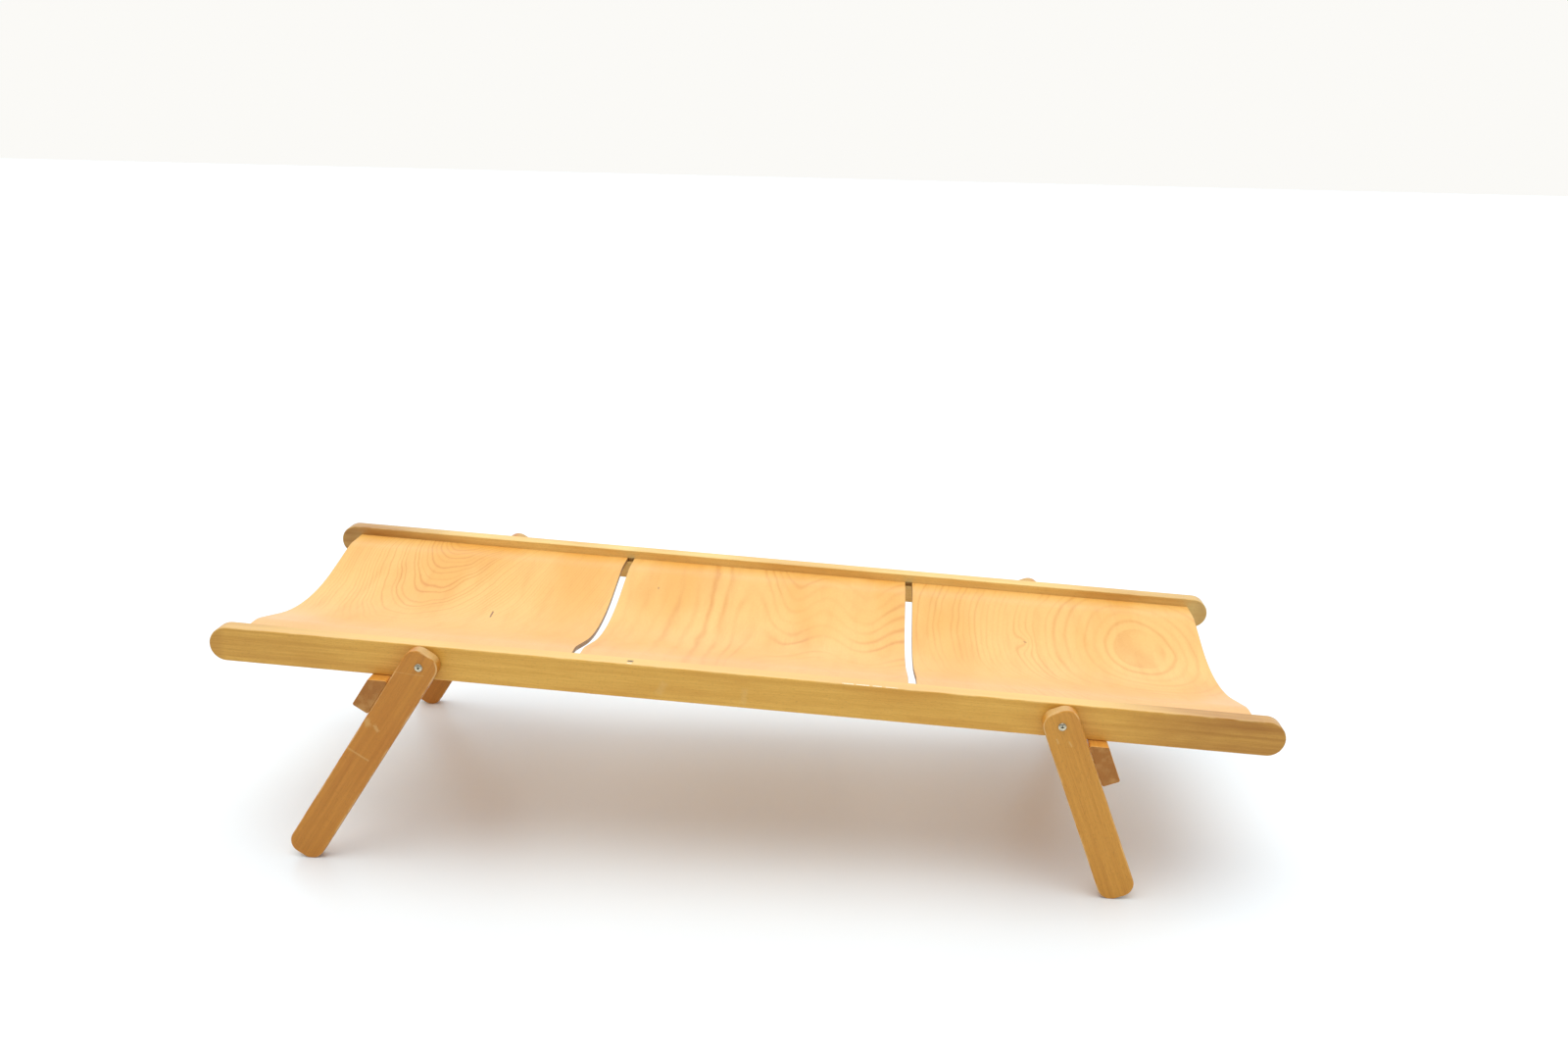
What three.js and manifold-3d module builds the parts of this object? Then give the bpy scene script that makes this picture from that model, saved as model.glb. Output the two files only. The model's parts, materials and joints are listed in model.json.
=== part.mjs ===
// Folding guest bed: two solid side rails carry three dished plywood panels and turn on four bolts over
// two pairs of legs. Each pair of legs is joined by a stretcher that bears on the rails when the bed stands.
// Millimetres, +Z up, +X towards the foot end. The origin is on the floor, under the middle of the bed.

import * as THREE from 'three';
import * as BufferGeometryUtils from 'three/addons/utils/BufferGeometryUtils.js';
import Module from 'manifold-3d';

const wasm = await Module();
wasm.setup();

// Fits
const GAP = 0.3;
const OVERCUT = 1;
const WELD_TOLERANCE = 1e-4;

// Deck: rails and panels, in the deck's own frame, whose origin is at mid height of the rails
const DECK_TILT = 0.05;
const DECK_HEIGHT = 359;
const RAIL_LENGTH = 1950;
const RAIL_HEIGHT = 64;
const RAIL_THICKNESS = 35;
const RAIL_EASING = 2.5;
const WIDTH_OVER_RAILS = 744;
const RAIL_INNER_Y = WIDTH_OVER_RAILS / 2 - RAIL_THICKNESS;
const RAIL_OUTER_Y = WIDTH_OVER_RAILS / 2;

const PANEL_LENGTH = 610;
const PANEL_SPACING = 625;
const PANEL_THICKNESS = 9;
const PANEL_SEAT_DEPTH = 9.5;
const PANEL_RIM_Z = 14.5;
const PANEL_DEPTH = 44;
const FLANK_ANGLE = THREE.MathUtils.degToRad(13.5);
const BELLY_RADIUS = 650;
const RIM_RADIUS = 150;

const GROOVE_DEPTH = PANEL_SEAT_DEPTH + 2 * GAP;
const GROOVE_HEIGHT = PANEL_THICKNESS + 2 * GAP;
const GROOVE_LENGTH = 2 * PANEL_SPACING + PANEL_LENGTH + 2 * GAP;

// Legs turn about bolts at mid height of the rails
const PIVOT_X = 577;
const LEG_WIDTH = 66;
const LEG_THICKNESS = 27;
const LEG_ABOVE_PIVOT = 28;
const LEG_CORNER_RADIUS = 25;
const LEG_EASING = 3;
const FOOT_FLAT_DEPTH = 0.8;
const HEAD_SPLAY = THREE.MathUtils.degToRad(29.3);
const FOOT_SPLAY = THREE.MathUtils.degToRad(23.8);

// Stretchers lie on the outer edges of the legs
const STRETCHER_THICKNESS = 33;
const STRETCHER_BOTTOM = 133;
const STRETCHER_SETBACK = 2;
const STRETCHER_EASING = 4;
const STRETCHER_END_EASING = 1;
const HOLLOW_DEPTH = 10;
const HOLLOW_RADIUS = 1060;

// Pivot hardware, laid out along the bolt from the rail's outer face
const WASHER_THICKNESS = 1.5;
const WASHER_RADIUS = 11;
const BOLT_RADIUS = 4;
const BOLT_SHANK_LENGTH = 45;
const BOLT_HEAD_RADIUS = 7.5;
const BOLT_HEAD_HEIGHT = 3.2;
const BOLT_HEAD_RIM = 1;
const BOLT_CROWN_RISE = 0.3;
const BOLT_CROWN_RADIUS = 4.5;
const BOLT_SHOULDER_RADIUS = 6.75;
const BOLT_POINT = 1;
const INSERT_RADIUS = 6.5;
const INSERT_LENGTH = 18;
const LEG_INNER_Y = RAIL_OUTER_Y + WASHER_THICKNESS + 2 * GAP;
const LEG_OUTER_Y = LEG_INNER_Y + LEG_THICKNESS;

// Stretcher screws
const SCREW_LENGTH = 56;
const SCREW_RADIUS = 2.7;
const SCREW_HEAD_RADIUS = 5.4;
const SCREW_HEAD_DEPTH = 3.4;
const SCREW_HEAD_RIM = 0.4;
const SCREW_TIP = 8;
const SCREW_UPPER = 88;
const SCREW_LOWER = 119;

// Cross recess of the bolts and screws
const RECESS_ARM = 0.42;
const RECESS_WIDTH = 0.14;
const RECESS_DEPTH = 1.9;

const ARC_STEP = THREE.MathUtils.degToRad(11);
const PANEL_ARC_STEP = THREE.MathUtils.degToRad(3);
const CORNER_STEPS = 3;
const ROUND_STEPS = 20;
const SCREW_STEPS = 14;

const FRONT = -1;
const BACK = 1;
const SIDES = [
  { name: 'front', sign: FRONT },
  { name: 'back', sign: BACK },
];
const ENDS = [
  { name: 'head', sign: -1, splay: HEAD_SPLAY },
  { name: 'foot', sign: 1, splay: FOOT_SPLAY },
];

const FINISHES = {
  rail: new THREE.MeshStandardMaterial({ color: 0xc58f4a, roughness: 0.45, metalness: 0 }),
  panel: new THREE.MeshStandardMaterial({ color: 0xf2bd78, roughness: 0.4, metalness: 0 }),
  leg: new THREE.MeshStandardMaterial({ color: 0xb97a38, roughness: 0.45, metalness: 0 }),
  stretcher: new THREE.MeshStandardMaterial({ color: 0xc08845, roughness: 0.5, metalness: 0 }),
  zinc: new THREE.MeshStandardMaterial({ color: 0xc9ccd0, roughness: 0.3, metalness: 1 }),
  brass: new THREE.MeshStandardMaterial({ color: 0xc8a850, roughness: 0.35, metalness: 1 }),
};

// Boolean cuts

// Shared vertices are merged while a piece still lies at the origin, before it is turned or moved
function welded(geometry) {
  geometry.deleteAttribute('normal');
  geometry.deleteAttribute('uv');
  return BufferGeometryUtils.mergeVertices(geometry, WELD_TOLERANCE);
}

function toSolid(geometry) {
  const vertProperties = new Float32Array(geometry.attributes.position.array);
  const triVerts = new Uint32Array(geometry.index.array);
  return new wasm.Manifold(new wasm.Mesh({ numProp: 3, vertProperties, triVerts }));
}

function toGeometry(solid) {
  const mesh = solid.getMesh();
  const geometry = new THREE.BufferGeometry();
  geometry.setAttribute('position', new THREE.BufferAttribute(new Float32Array(mesh.vertProperties), 3));
  geometry.setIndex(new THREE.BufferAttribute(new Uint32Array(mesh.triVerts), 1));
  return geometry;
}

function cut(geometry, tools) {
  let solid = toSolid(geometry);
  for (const tool of tools) {
    solid = solid.subtract(toSolid(tool));
  }
  return toGeometry(solid);
}

// Turned and extruded stock

function rod(radius, length, steps) {
  return welded(new THREE.CylinderGeometry(radius, radius, length, steps));
}

function block(width, depth, height) {
  return welded(new THREE.BoxGeometry(width, depth, height));
}

function turned(profile, steps) {
  return welded(new THREE.LatheGeometry(profile, steps));
}

function ring(inner, outer, length) {
  const profile = [
    new THREE.Vector2(inner, 0),
    new THREE.Vector2(outer, 0),
    new THREE.Vector2(outer, length),
    new THREE.Vector2(inner, length),
    new THREE.Vector2(inner, 0),
  ];
  return turned(profile, ROUND_STEPS);
}

// Carries an outline round an arc in even steps
function sweep(outline, x, y, radius, from, to, step = ARC_STEP) {
  const steps = Math.max(1, Math.round(Math.abs(to - from) / step));
  for (let i = 0; i <= steps; i += 1) {
    const angle = from + ((to - from) * i) / steps;
    outline.lineTo(x + radius * Math.cos(angle), y + radius * Math.sin(angle));
  }
}

// An upright outline (shape x along X, shape y along Z) given a thickness along Y, from 0 to +thickness
function uprightBoard(outline, thickness, easing) {
  const board = welded(new THREE.ExtrudeGeometry(outline, {
    depth: thickness - 2 * easing,
    bevelEnabled: easing > 0,
    bevelThickness: easing,
    bevelSize: easing,
    bevelOffset: -easing,
    bevelSegments: 2,
    curveSegments: CORNER_STEPS,
  }));
  board.rotateX(Math.PI / 2);
  board.translate(0, thickness - easing, 0);
  return board;
}

// An outline of a cross-section (shape x along Y, shape y along Z) given a length along X, centred on x
function lengthwise(outline, length, centreX) {
  const shape = { depth: length, bevelEnabled: false };
  const stock = welded(new THREE.ExtrudeGeometry(outline, shape));
  const turn = new THREE.Matrix4().makeBasis(
    new THREE.Vector3(0, 1, 0),
    new THREE.Vector3(0, 0, 1),
    new THREE.Vector3(1, 0, 0),
  );
  stock.applyMatrix4(turn);
  stock.translate(centreX - length / 2, 0, 0);
  return stock;
}

// A convex outline with each corner eased by a short curve
function easedOutline(corners, easing) {
  const outline = new THREE.Shape();
  corners.forEach((corner, i) => {
    const before = corners[(i + corners.length - 1) % corners.length];
    const after = corners[(i + 1) % corners.length];
    const entry = corner.clone().add(before.clone().sub(corner).setLength(easing));
    const exit = corner.clone().add(after.clone().sub(corner).setLength(easing));
    if (i === 0) {
      outline.moveTo(entry.x, entry.y);
    } else {
      outline.lineTo(entry.x, entry.y);
    }
    outline.quadraticCurveTo(corner.x, corner.y, exit.x, exit.y);
  });
  outline.closePath();
  return outline;
}

// Side rails

function railOutline() {
  const radius = RAIL_HEIGHT / 2;
  const centre = RAIL_LENGTH / 2 - radius;
  const outline = new THREE.Shape();
  outline.moveTo(-centre, -radius);
  outline.lineTo(centre, -radius);
  sweep(outline, centre, 0, radius, -Math.PI / 2, Math.PI / 2);
  outline.lineTo(-centre, radius);
  sweep(outline, -centre, 0, radius, Math.PI / 2, 1.5 * Math.PI);
  return outline;
}

// The rail's inner face is towards the bed's centre line: its stopped groove takes the panels' edges
function sideRail(side) {
  const rail = uprightBoard(railOutline(), RAIL_THICKNESS, RAIL_EASING);
  const start = side === BACK ? RAIL_INNER_Y : -RAIL_OUTER_Y;
  rail.translate(0, start, 0);
  const grooveFloor = RAIL_INNER_Y + GROOVE_DEPTH;
  const groove = block(GROOVE_LENGTH, GROOVE_DEPTH + OVERCUT, GROOVE_HEIGHT);
  const grooveY = side * (grooveFloor - (GROOVE_DEPTH + OVERCUT) / 2);
  groove.translate(0, grooveY, PANEL_RIM_Z - PANEL_THICKNESS / 2);
  const drillings = ENDS.map((end) => {
    const depth = INSERT_LENGTH + 2 * GAP + OVERCUT;
    const drilling = rod(INSERT_RADIUS + GAP, depth, ROUND_STEPS);
    const drillingY = side * (RAIL_OUTER_Y + OVERCUT - depth / 2);
    return drilling.translate(end.sign * PIVOT_X, drillingY, 0);
  });
  return cut(rail, [groove, ...drillings]);
}

// Panels: a flat rim in each groove, straight flanks, and a round belly

function panelOutline() {
  const edge = RAIL_INNER_Y + PANEL_SEAT_DEPTH;
  const bellyZ = PANEL_RIM_Z - PANEL_DEPTH + BELLY_RADIUS;
  const rimZ = PANEL_RIM_Z - RIM_RADIUS;
  const flankDrop = PANEL_DEPTH - (BELLY_RADIUS + RIM_RADIUS) * (1 - Math.cos(FLANK_ANGLE));
  const flankSpan = flankDrop / Math.tan(FLANK_ANGLE);
  const rimY = (BELLY_RADIUS + RIM_RADIUS) * Math.sin(FLANK_ANGLE) + flankSpan;
  const underBelly = BELLY_RADIUS + PANEL_THICKNESS;
  const underRim = RIM_RADIUS - PANEL_THICKNESS;
  const up = Math.PI / 2;
  const outline = new THREE.Shape();
  outline.moveTo(edge, PANEL_RIM_Z);
  outline.lineTo(rimY, PANEL_RIM_Z);
  sweep(outline, rimY, rimZ, RIM_RADIUS, up, up + FLANK_ANGLE, PANEL_ARC_STEP);
  sweep(outline, 0, bellyZ, BELLY_RADIUS, -up + FLANK_ANGLE, -up - FLANK_ANGLE, PANEL_ARC_STEP);
  sweep(outline, -rimY, rimZ, RIM_RADIUS, up - FLANK_ANGLE, up, PANEL_ARC_STEP);
  outline.lineTo(-edge, PANEL_RIM_Z);
  outline.lineTo(-edge, PANEL_RIM_Z - PANEL_THICKNESS);
  sweep(outline, -rimY, rimZ, underRim, up, up - FLANK_ANGLE, PANEL_ARC_STEP);
  sweep(outline, 0, bellyZ, underBelly, -up - FLANK_ANGLE, -up + FLANK_ANGLE, PANEL_ARC_STEP);
  sweep(outline, rimY, rimZ, underRim, up + FLANK_ANGLE, up, PANEL_ARC_STEP);
  outline.lineTo(edge, PANEL_RIM_Z - PANEL_THICKNESS);
  return outline;
}

function panel(place) {
  return lengthwise(panelOutline(), PANEL_LENGTH, place * PANEL_SPACING);
}

// Legs, in a frame at the pivot whose -Z runs down the leg; outboard is -X at the head and +X at the foot

// How far the leg leans from the vertical once the deck's tilt is counted
function leanFromVertical(end) {
  return end.splay - end.sign * DECK_TILT;
}

// Distance from the pivot to the leg's end, so that the flat on its inner corner lies on the floor
function legReach(end) {
  const pivotHeight = DECK_HEIGHT - end.sign * PIVOT_X * Math.sin(DECK_TILT);
  const lean = leanFromVertical(end);
  const cornerInset = LEG_WIDTH / 2 - LEG_CORNER_RADIUS;
  const flatBelowCorner = LEG_CORNER_RADIUS - FOOT_FLAT_DEPTH;
  const cornerDown = (pivotHeight - flatBelowCorner - cornerInset * Math.sin(lean)) / Math.cos(lean);
  return cornerDown + LEG_CORNER_RADIUS;
}

function legOutline(end) {
  const reach = legReach(end);
  const lean = leanFromVertical(end);
  const halfFlat = Math.acos(1 - FOOT_FLAT_DEPTH / LEG_CORNER_RADIUS);
  const inset = LEG_WIDTH / 2 - LEG_CORNER_RADIUS;
  const topZ = LEG_ABOVE_PIVOT - LEG_CORNER_RADIUS;
  const footZ = LEG_CORNER_RADIUS - reach;
  const down = -Math.PI / 2;
  const outline = new THREE.Shape();
  outline.moveTo(LEG_WIDTH / 2, footZ);
  sweep(outline, inset, topZ, LEG_CORNER_RADIUS, 0, -down);
  sweep(outline, -inset, topZ, LEG_CORNER_RADIUS, -down, Math.PI);
  const inner = down - lean;
  sweep(outline, -inset, footZ, LEG_CORNER_RADIUS, -Math.PI, inner - halfFlat);
  sweep(outline, -inset, footZ, LEG_CORNER_RADIUS, inner + halfFlat, down);
  sweep(outline, inset, footZ, LEG_CORNER_RADIUS, down, 0);
  return outline;
}

function leg(end, side) {
  const blank = uprightBoard(legOutline(end), LEG_THICKNESS, LEG_EASING);
  if (end.sign < 0) {
    blank.rotateZ(Math.PI);
    blank.translate(0, LEG_THICKNESS, 0);
  }
  blank.translate(0, side === BACK ? LEG_INNER_Y : -LEG_OUTER_Y, 0);
  const hole = rod(BOLT_RADIUS + GAP, LEG_THICKNESS + 2 * OVERCUT, ROUND_STEPS);
  hole.translate(0, side * (LEG_INNER_Y + LEG_THICKNESS / 2), 0);
  const pilots = [SCREW_UPPER, SCREW_LOWER].map((down) => placeScrew(screwHole(), end, side, down));
  return cut(blank, [hole, ...pilots]);
}

// Stretchers, in the same frame as their legs

function stretcherOutline(end) {
  const inner = LEG_WIDTH / 2 + GAP;
  const outer = inner + STRETCHER_THICKNESS;
  const underRail = RAIL_HEIGHT / 2 + GAP;
  const bearing = (across) => (underRail + across * Math.sin(end.splay)) / Math.cos(end.splay);
  const corners = [
    new THREE.Vector2(end.sign * inner, -bearing(inner)),
    new THREE.Vector2(end.sign * outer, -bearing(outer)),
    new THREE.Vector2(end.sign * outer, -STRETCHER_BOTTOM),
    new THREE.Vector2(end.sign * inner, -STRETCHER_BOTTOM),
  ];
  return easedOutline(corners, STRETCHER_EASING);
}

// The upper edge is hollowed to clear the bellies of the panels
function bellyHollow(end) {
  const top = OVERCUT - RAIL_HEIGHT / 2;
  const centreZ = HOLLOW_RADIUS - HOLLOW_DEPTH - RAIL_HEIGHT / 2;
  const half = Math.acos((centreZ - top) / HOLLOW_RADIUS);
  const outline = new THREE.Shape();
  sweep(outline, 0, centreZ, HOLLOW_RADIUS, -Math.PI / 2 - half, -Math.PI / 2 + half, PANEL_ARC_STEP);
  outline.closePath();
  const reach = 2 * STRETCHER_BOTTOM;
  return lengthwise(outline, 2 * reach, 0).rotateY(end.sign * end.splay);
}

function stretcher(end) {
  const halfLength = LEG_OUTER_Y - STRETCHER_SETBACK;
  const board = uprightBoard(stretcherOutline(end), 2 * halfLength, STRETCHER_END_EASING);
  board.translate(0, -halfLength, 0);
  const holes = SIDES.flatMap((side) =>
    [SCREW_UPPER, SCREW_LOWER].map((down) => placeScrew(screwHole(), end, side.sign, down)),
  );
  return cut(board, [bellyHollow(end), ...holes]);
}

// Fasteners: turned about Y, head at the low end

function crossRecess(radius, faceY) {
  const arm = 2 * radius * RECESS_ARM;
  const width = 2 * radius * RECESS_WIDTH;
  const depth = RECESS_DEPTH + OVERCUT;
  const centreY = faceY + RECESS_DEPTH - depth / 2;
  const first = block(arm, depth, width).translate(0, centreY, 0);
  const second = block(width, depth, arm).translate(0, centreY, 0);
  return [first, second];
}

function screwProfile(clearance, headRise) {
  const radius = SCREW_RADIUS + clearance;
  const head = SCREW_HEAD_RADIUS + clearance;
  const length = SCREW_LENGTH + clearance;
  return [
    new THREE.Vector2(0, -headRise),
    new THREE.Vector2(head, -headRise),
    new THREE.Vector2(head, SCREW_HEAD_RIM),
    new THREE.Vector2(radius, SCREW_HEAD_DEPTH),
    new THREE.Vector2(radius, length - SCREW_TIP),
    new THREE.Vector2(0, length),
  ];
}

function screwHole() {
  return turned(screwProfile(GAP, OVERCUT), SCREW_STEPS);
}

function screw() {
  const blank = turned(screwProfile(0, 0), SCREW_STEPS);
  return cut(blank, crossRecess(SCREW_HEAD_RADIUS, 0));
}

// Puts a screw or its hole through the stretcher into the leg's edge, its head just under the outer face
function placeScrew(geometry, end, side, down) {
  const face = LEG_WIDTH / 2 + STRETCHER_THICKNESS;
  geometry.rotateZ(end.sign * Math.PI / 2);
  geometry.translate(end.sign * face, side * (LEG_INNER_Y + LEG_THICKNESS / 2), -down);
  return geometry;
}

function boltProfile() {
  const shoulder = BOLT_HEAD_HEIGHT - BOLT_HEAD_RIM;
  return [
    new THREE.Vector2(0, -BOLT_HEAD_HEIGHT),
    new THREE.Vector2(BOLT_CROWN_RADIUS, BOLT_CROWN_RISE - BOLT_HEAD_HEIGHT),
    new THREE.Vector2(BOLT_SHOULDER_RADIUS, -shoulder),
    new THREE.Vector2(BOLT_HEAD_RADIUS, -BOLT_HEAD_RIM),
    new THREE.Vector2(BOLT_HEAD_RADIUS, 0),
    new THREE.Vector2(BOLT_RADIUS, 0),
    new THREE.Vector2(BOLT_RADIUS, BOLT_SHANK_LENGTH - BOLT_POINT),
    new THREE.Vector2(BOLT_RADIUS - BOLT_POINT, BOLT_SHANK_LENGTH),
    new THREE.Vector2(0, BOLT_SHANK_LENGTH),
  ];
}

function pivotBolt() {
  const blank = turned(boltProfile(), ROUND_STEPS);
  return cut(blank, crossRecess(BOLT_HEAD_RADIUS, -BOLT_HEAD_HEIGHT));
}

// Assembly

function named(name, geometry, finish) {
  const mesh = new THREE.Mesh(geometry, FINISHES[finish]);
  mesh.name = name;
  return mesh;
}

// Hardware is built head outwards for the front side and turned round for the back
function hardware(name, geometry, finish, end, side, offset) {
  const mesh = named(name, geometry, finish);
  mesh.position.set(end.sign * PIVOT_X, side.sign * offset, 0);
  mesh.rotation.z = side.sign === BACK ? Math.PI : 0;
  return mesh;
}

function pivotHardware(end, side) {
  const suffix = side.name;
  const washer = ring(BOLT_RADIUS + GAP, WASHER_RADIUS, WASHER_THICKNESS);
  const insert = ring(BOLT_RADIUS + GAP, INSERT_RADIUS, INSERT_LENGTH);
  return [
    hardware(`${end.name}_pivot_bolt_${suffix}`, pivotBolt(), 'zinc', end, side, LEG_OUTER_Y + GAP),
    hardware(`${end.name}_pivot_washer_${suffix}`, washer, 'zinc', end, side, LEG_INNER_Y - GAP),
    hardware(`${end.name}_pivot_insert_${suffix}`, insert, 'brass', end, side, RAIL_OUTER_Y - GAP),
  ];
}

function legFrame(end) {
  const frame = new THREE.Group();
  frame.position.x = end.sign * PIVOT_X;
  frame.rotation.y = -end.sign * end.splay;
  for (const side of SIDES) {
    frame.add(named(`${end.name}_leg_${side.name}`, leg(end, side.sign), 'leg'));
    for (const [row, down] of [['upper', SCREW_UPPER], ['lower', SCREW_LOWER]]) {
      const name = `${end.name}_stretcher_screw_${side.name}_${row}`;
      frame.add(named(name, placeScrew(screw(), end, side.sign, down), 'zinc'));
    }
  }
  frame.add(named(`${end.name}_stretcher`, stretcher(end), 'stretcher'));
  return frame;
}

const deck = new THREE.Group();
for (const side of SIDES) {
  deck.add(named(`side_rail_${side.name}`, sideRail(side.sign), 'rail'));
}
for (const [name, place] of [['head', -1], ['middle', 0], ['foot', 1]]) {
  deck.add(named(`panel_${name}`, panel(place), 'panel'));
}
for (const end of ENDS) {
  deck.add(legFrame(end));
  for (const side of SIDES) {
    deck.add(...pivotHardware(end, side));
  }
}
deck.rotation.y = DECK_TILT;
deck.position.z = DECK_HEIGHT;

const bed = new THREE.Group();
bed.add(deck);

export default bed;
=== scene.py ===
"""Looks of the folding guest bed: lacquered beech rails and legs, dished ply panels and plated fittings.

Metres throughout. Every board is built in its own frame, x along its grain, y across its width and z through
its thickness, and is then laid in place, so that its figure follows the board whichever way it points.
"""

import json
import logging
import math
from collections.abc import Callable, Iterable, Sequence
from dataclasses import dataclass, field
from enum import Enum
from typing import Any, Union

import bmesh
import bpy
from mathutils import Matrix, Vector


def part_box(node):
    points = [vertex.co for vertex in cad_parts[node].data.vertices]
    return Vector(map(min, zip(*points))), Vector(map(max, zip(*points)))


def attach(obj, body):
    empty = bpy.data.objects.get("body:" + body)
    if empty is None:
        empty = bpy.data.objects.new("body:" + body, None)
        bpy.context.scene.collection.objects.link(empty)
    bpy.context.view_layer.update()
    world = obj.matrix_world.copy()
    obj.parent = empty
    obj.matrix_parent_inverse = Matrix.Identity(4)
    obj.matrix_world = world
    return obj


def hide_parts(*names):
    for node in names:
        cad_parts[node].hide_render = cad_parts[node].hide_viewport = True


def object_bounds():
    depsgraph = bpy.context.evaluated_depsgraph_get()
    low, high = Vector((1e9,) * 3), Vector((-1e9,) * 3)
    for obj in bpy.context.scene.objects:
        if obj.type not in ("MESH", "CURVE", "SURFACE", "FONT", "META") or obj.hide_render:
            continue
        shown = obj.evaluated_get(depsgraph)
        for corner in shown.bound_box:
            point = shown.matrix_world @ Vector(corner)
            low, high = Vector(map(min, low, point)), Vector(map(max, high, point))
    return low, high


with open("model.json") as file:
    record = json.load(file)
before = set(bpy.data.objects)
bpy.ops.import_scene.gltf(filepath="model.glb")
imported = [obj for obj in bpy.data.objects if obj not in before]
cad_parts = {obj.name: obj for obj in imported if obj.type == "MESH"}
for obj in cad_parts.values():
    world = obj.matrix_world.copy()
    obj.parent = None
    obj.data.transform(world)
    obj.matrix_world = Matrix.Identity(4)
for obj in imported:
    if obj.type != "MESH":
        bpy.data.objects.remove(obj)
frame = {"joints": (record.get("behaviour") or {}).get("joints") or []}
CAD_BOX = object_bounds()

log = logging.getLogger("guest_bed")

Triple = tuple[float, float, float]
Colour = Triple
Point = tuple[float, float]
Value = Union["Wire", float, Sequence[float]]

TAU = 2 * math.pi
GAP = 0.0003
OVERCUT = 0.001
SHARP = math.radians(35)
PLY_SHARP = math.radians(28)
OUTLINE_STEPS = 96
ARRIS_STEPS = 5
CORNER_STEPS = 5
HOLE_STEPS = 48
SINK_STEPS = 40
PLACE = "place on the board"
FACING = "facing on the board"


class Side(Enum):
    """The two long sides of the bed; the value is the side's direction along Y."""

    FRONT = -1
    BACK = 1

    @property
    def word(self) -> str:
        """The side's name in lower case."""
        return self.name.lower()


class End(Enum):
    """The two ends of the bed; the value is the end's direction along X."""

    HEAD = -1
    FOOT = 1

    @property
    def word(self) -> str:
        """The end's name in lower case."""
        return self.name.lower()


class Face(Enum):
    """The face of a board that a mark lies on."""

    BROAD = "the outer broad face, +z"
    EDGE = "the upper edge, +y"


class Figure(Enum):
    """How the growth rings run over a rotary-cut veneer."""

    CATHEDRAL = "nested arches that open towards the back rail"
    WAVES = "straight at the head side, rolling waves at the foot side"
    OVALS = "long ovals round a low spot near the foot, stripes elsewhere"


# Shader sums


def math_node(operation: str, reflected: bool = False) -> Callable[..., "Wire"]:
    """Makes a method that adds one Math node.

    Args:
        operation: what the node works out.
        reflected: whether the other value comes before this one.

    Returns:
        The method, which takes this value and any others and gives the node's output.
    """

    def add(this: "Wire", *others: Value) -> "Wire":
        """Adds the node."""
        terms = (*others, this) if reflected else (this, *others)
        return this.bench.put("ShaderNodeMath", {"operation": operation}, dict(enumerate(terms)))

    return add


class Wire:
    """The output of a shader node, so that shader sums read as ordinary expressions."""

    __add__ = math_node("ADD")
    __radd__ = math_node("ADD", reflected=True)
    __sub__ = math_node("SUBTRACT")
    __rsub__ = math_node("SUBTRACT", reflected=True)
    __mul__ = math_node("MULTIPLY")
    __rmul__ = math_node("MULTIPLY", reflected=True)
    __truediv__ = math_node("DIVIDE")
    __pow__ = math_node("POWER")
    __abs__ = math_node("ABSOLUTE")
    sine = math_node("SINE")
    root = math_node("SQRT")
    larger = math_node("MAXIMUM")
    smaller = math_node("MINIMUM")
    exponential = math_node("EXPONENT")

    def __init__(self, bench: "Bench", socket: bpy.types.NodeSocket) -> None:
        """Keeps the socket and the bench that any new node goes on."""
        self.bench = bench
        self.socket = socket

    def bell(self) -> "Wire":
        """A bell curve: e to the minus square of this value."""
        return (self * self * -1.0).exponential()

    def rise(self, start: float, stop: float) -> "Wire":
        """A mask that eases from 0 at start to 1 at stop.

        Args:
            start: the value at which the mask leaves 0.
            stop: the value at which it reaches 1; below start, the mask falls instead.

        Returns:
            The mask.
        """
        low, high = min(start, stop), max(start, stop)
        settings = {"interpolation_type": "SMOOTHSTEP"}
        mask = self.bench.put("ShaderNodeMapRange", settings, {0: self, 1: low, 2: high})
        return mask if start < stop else 1 - mask


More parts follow.
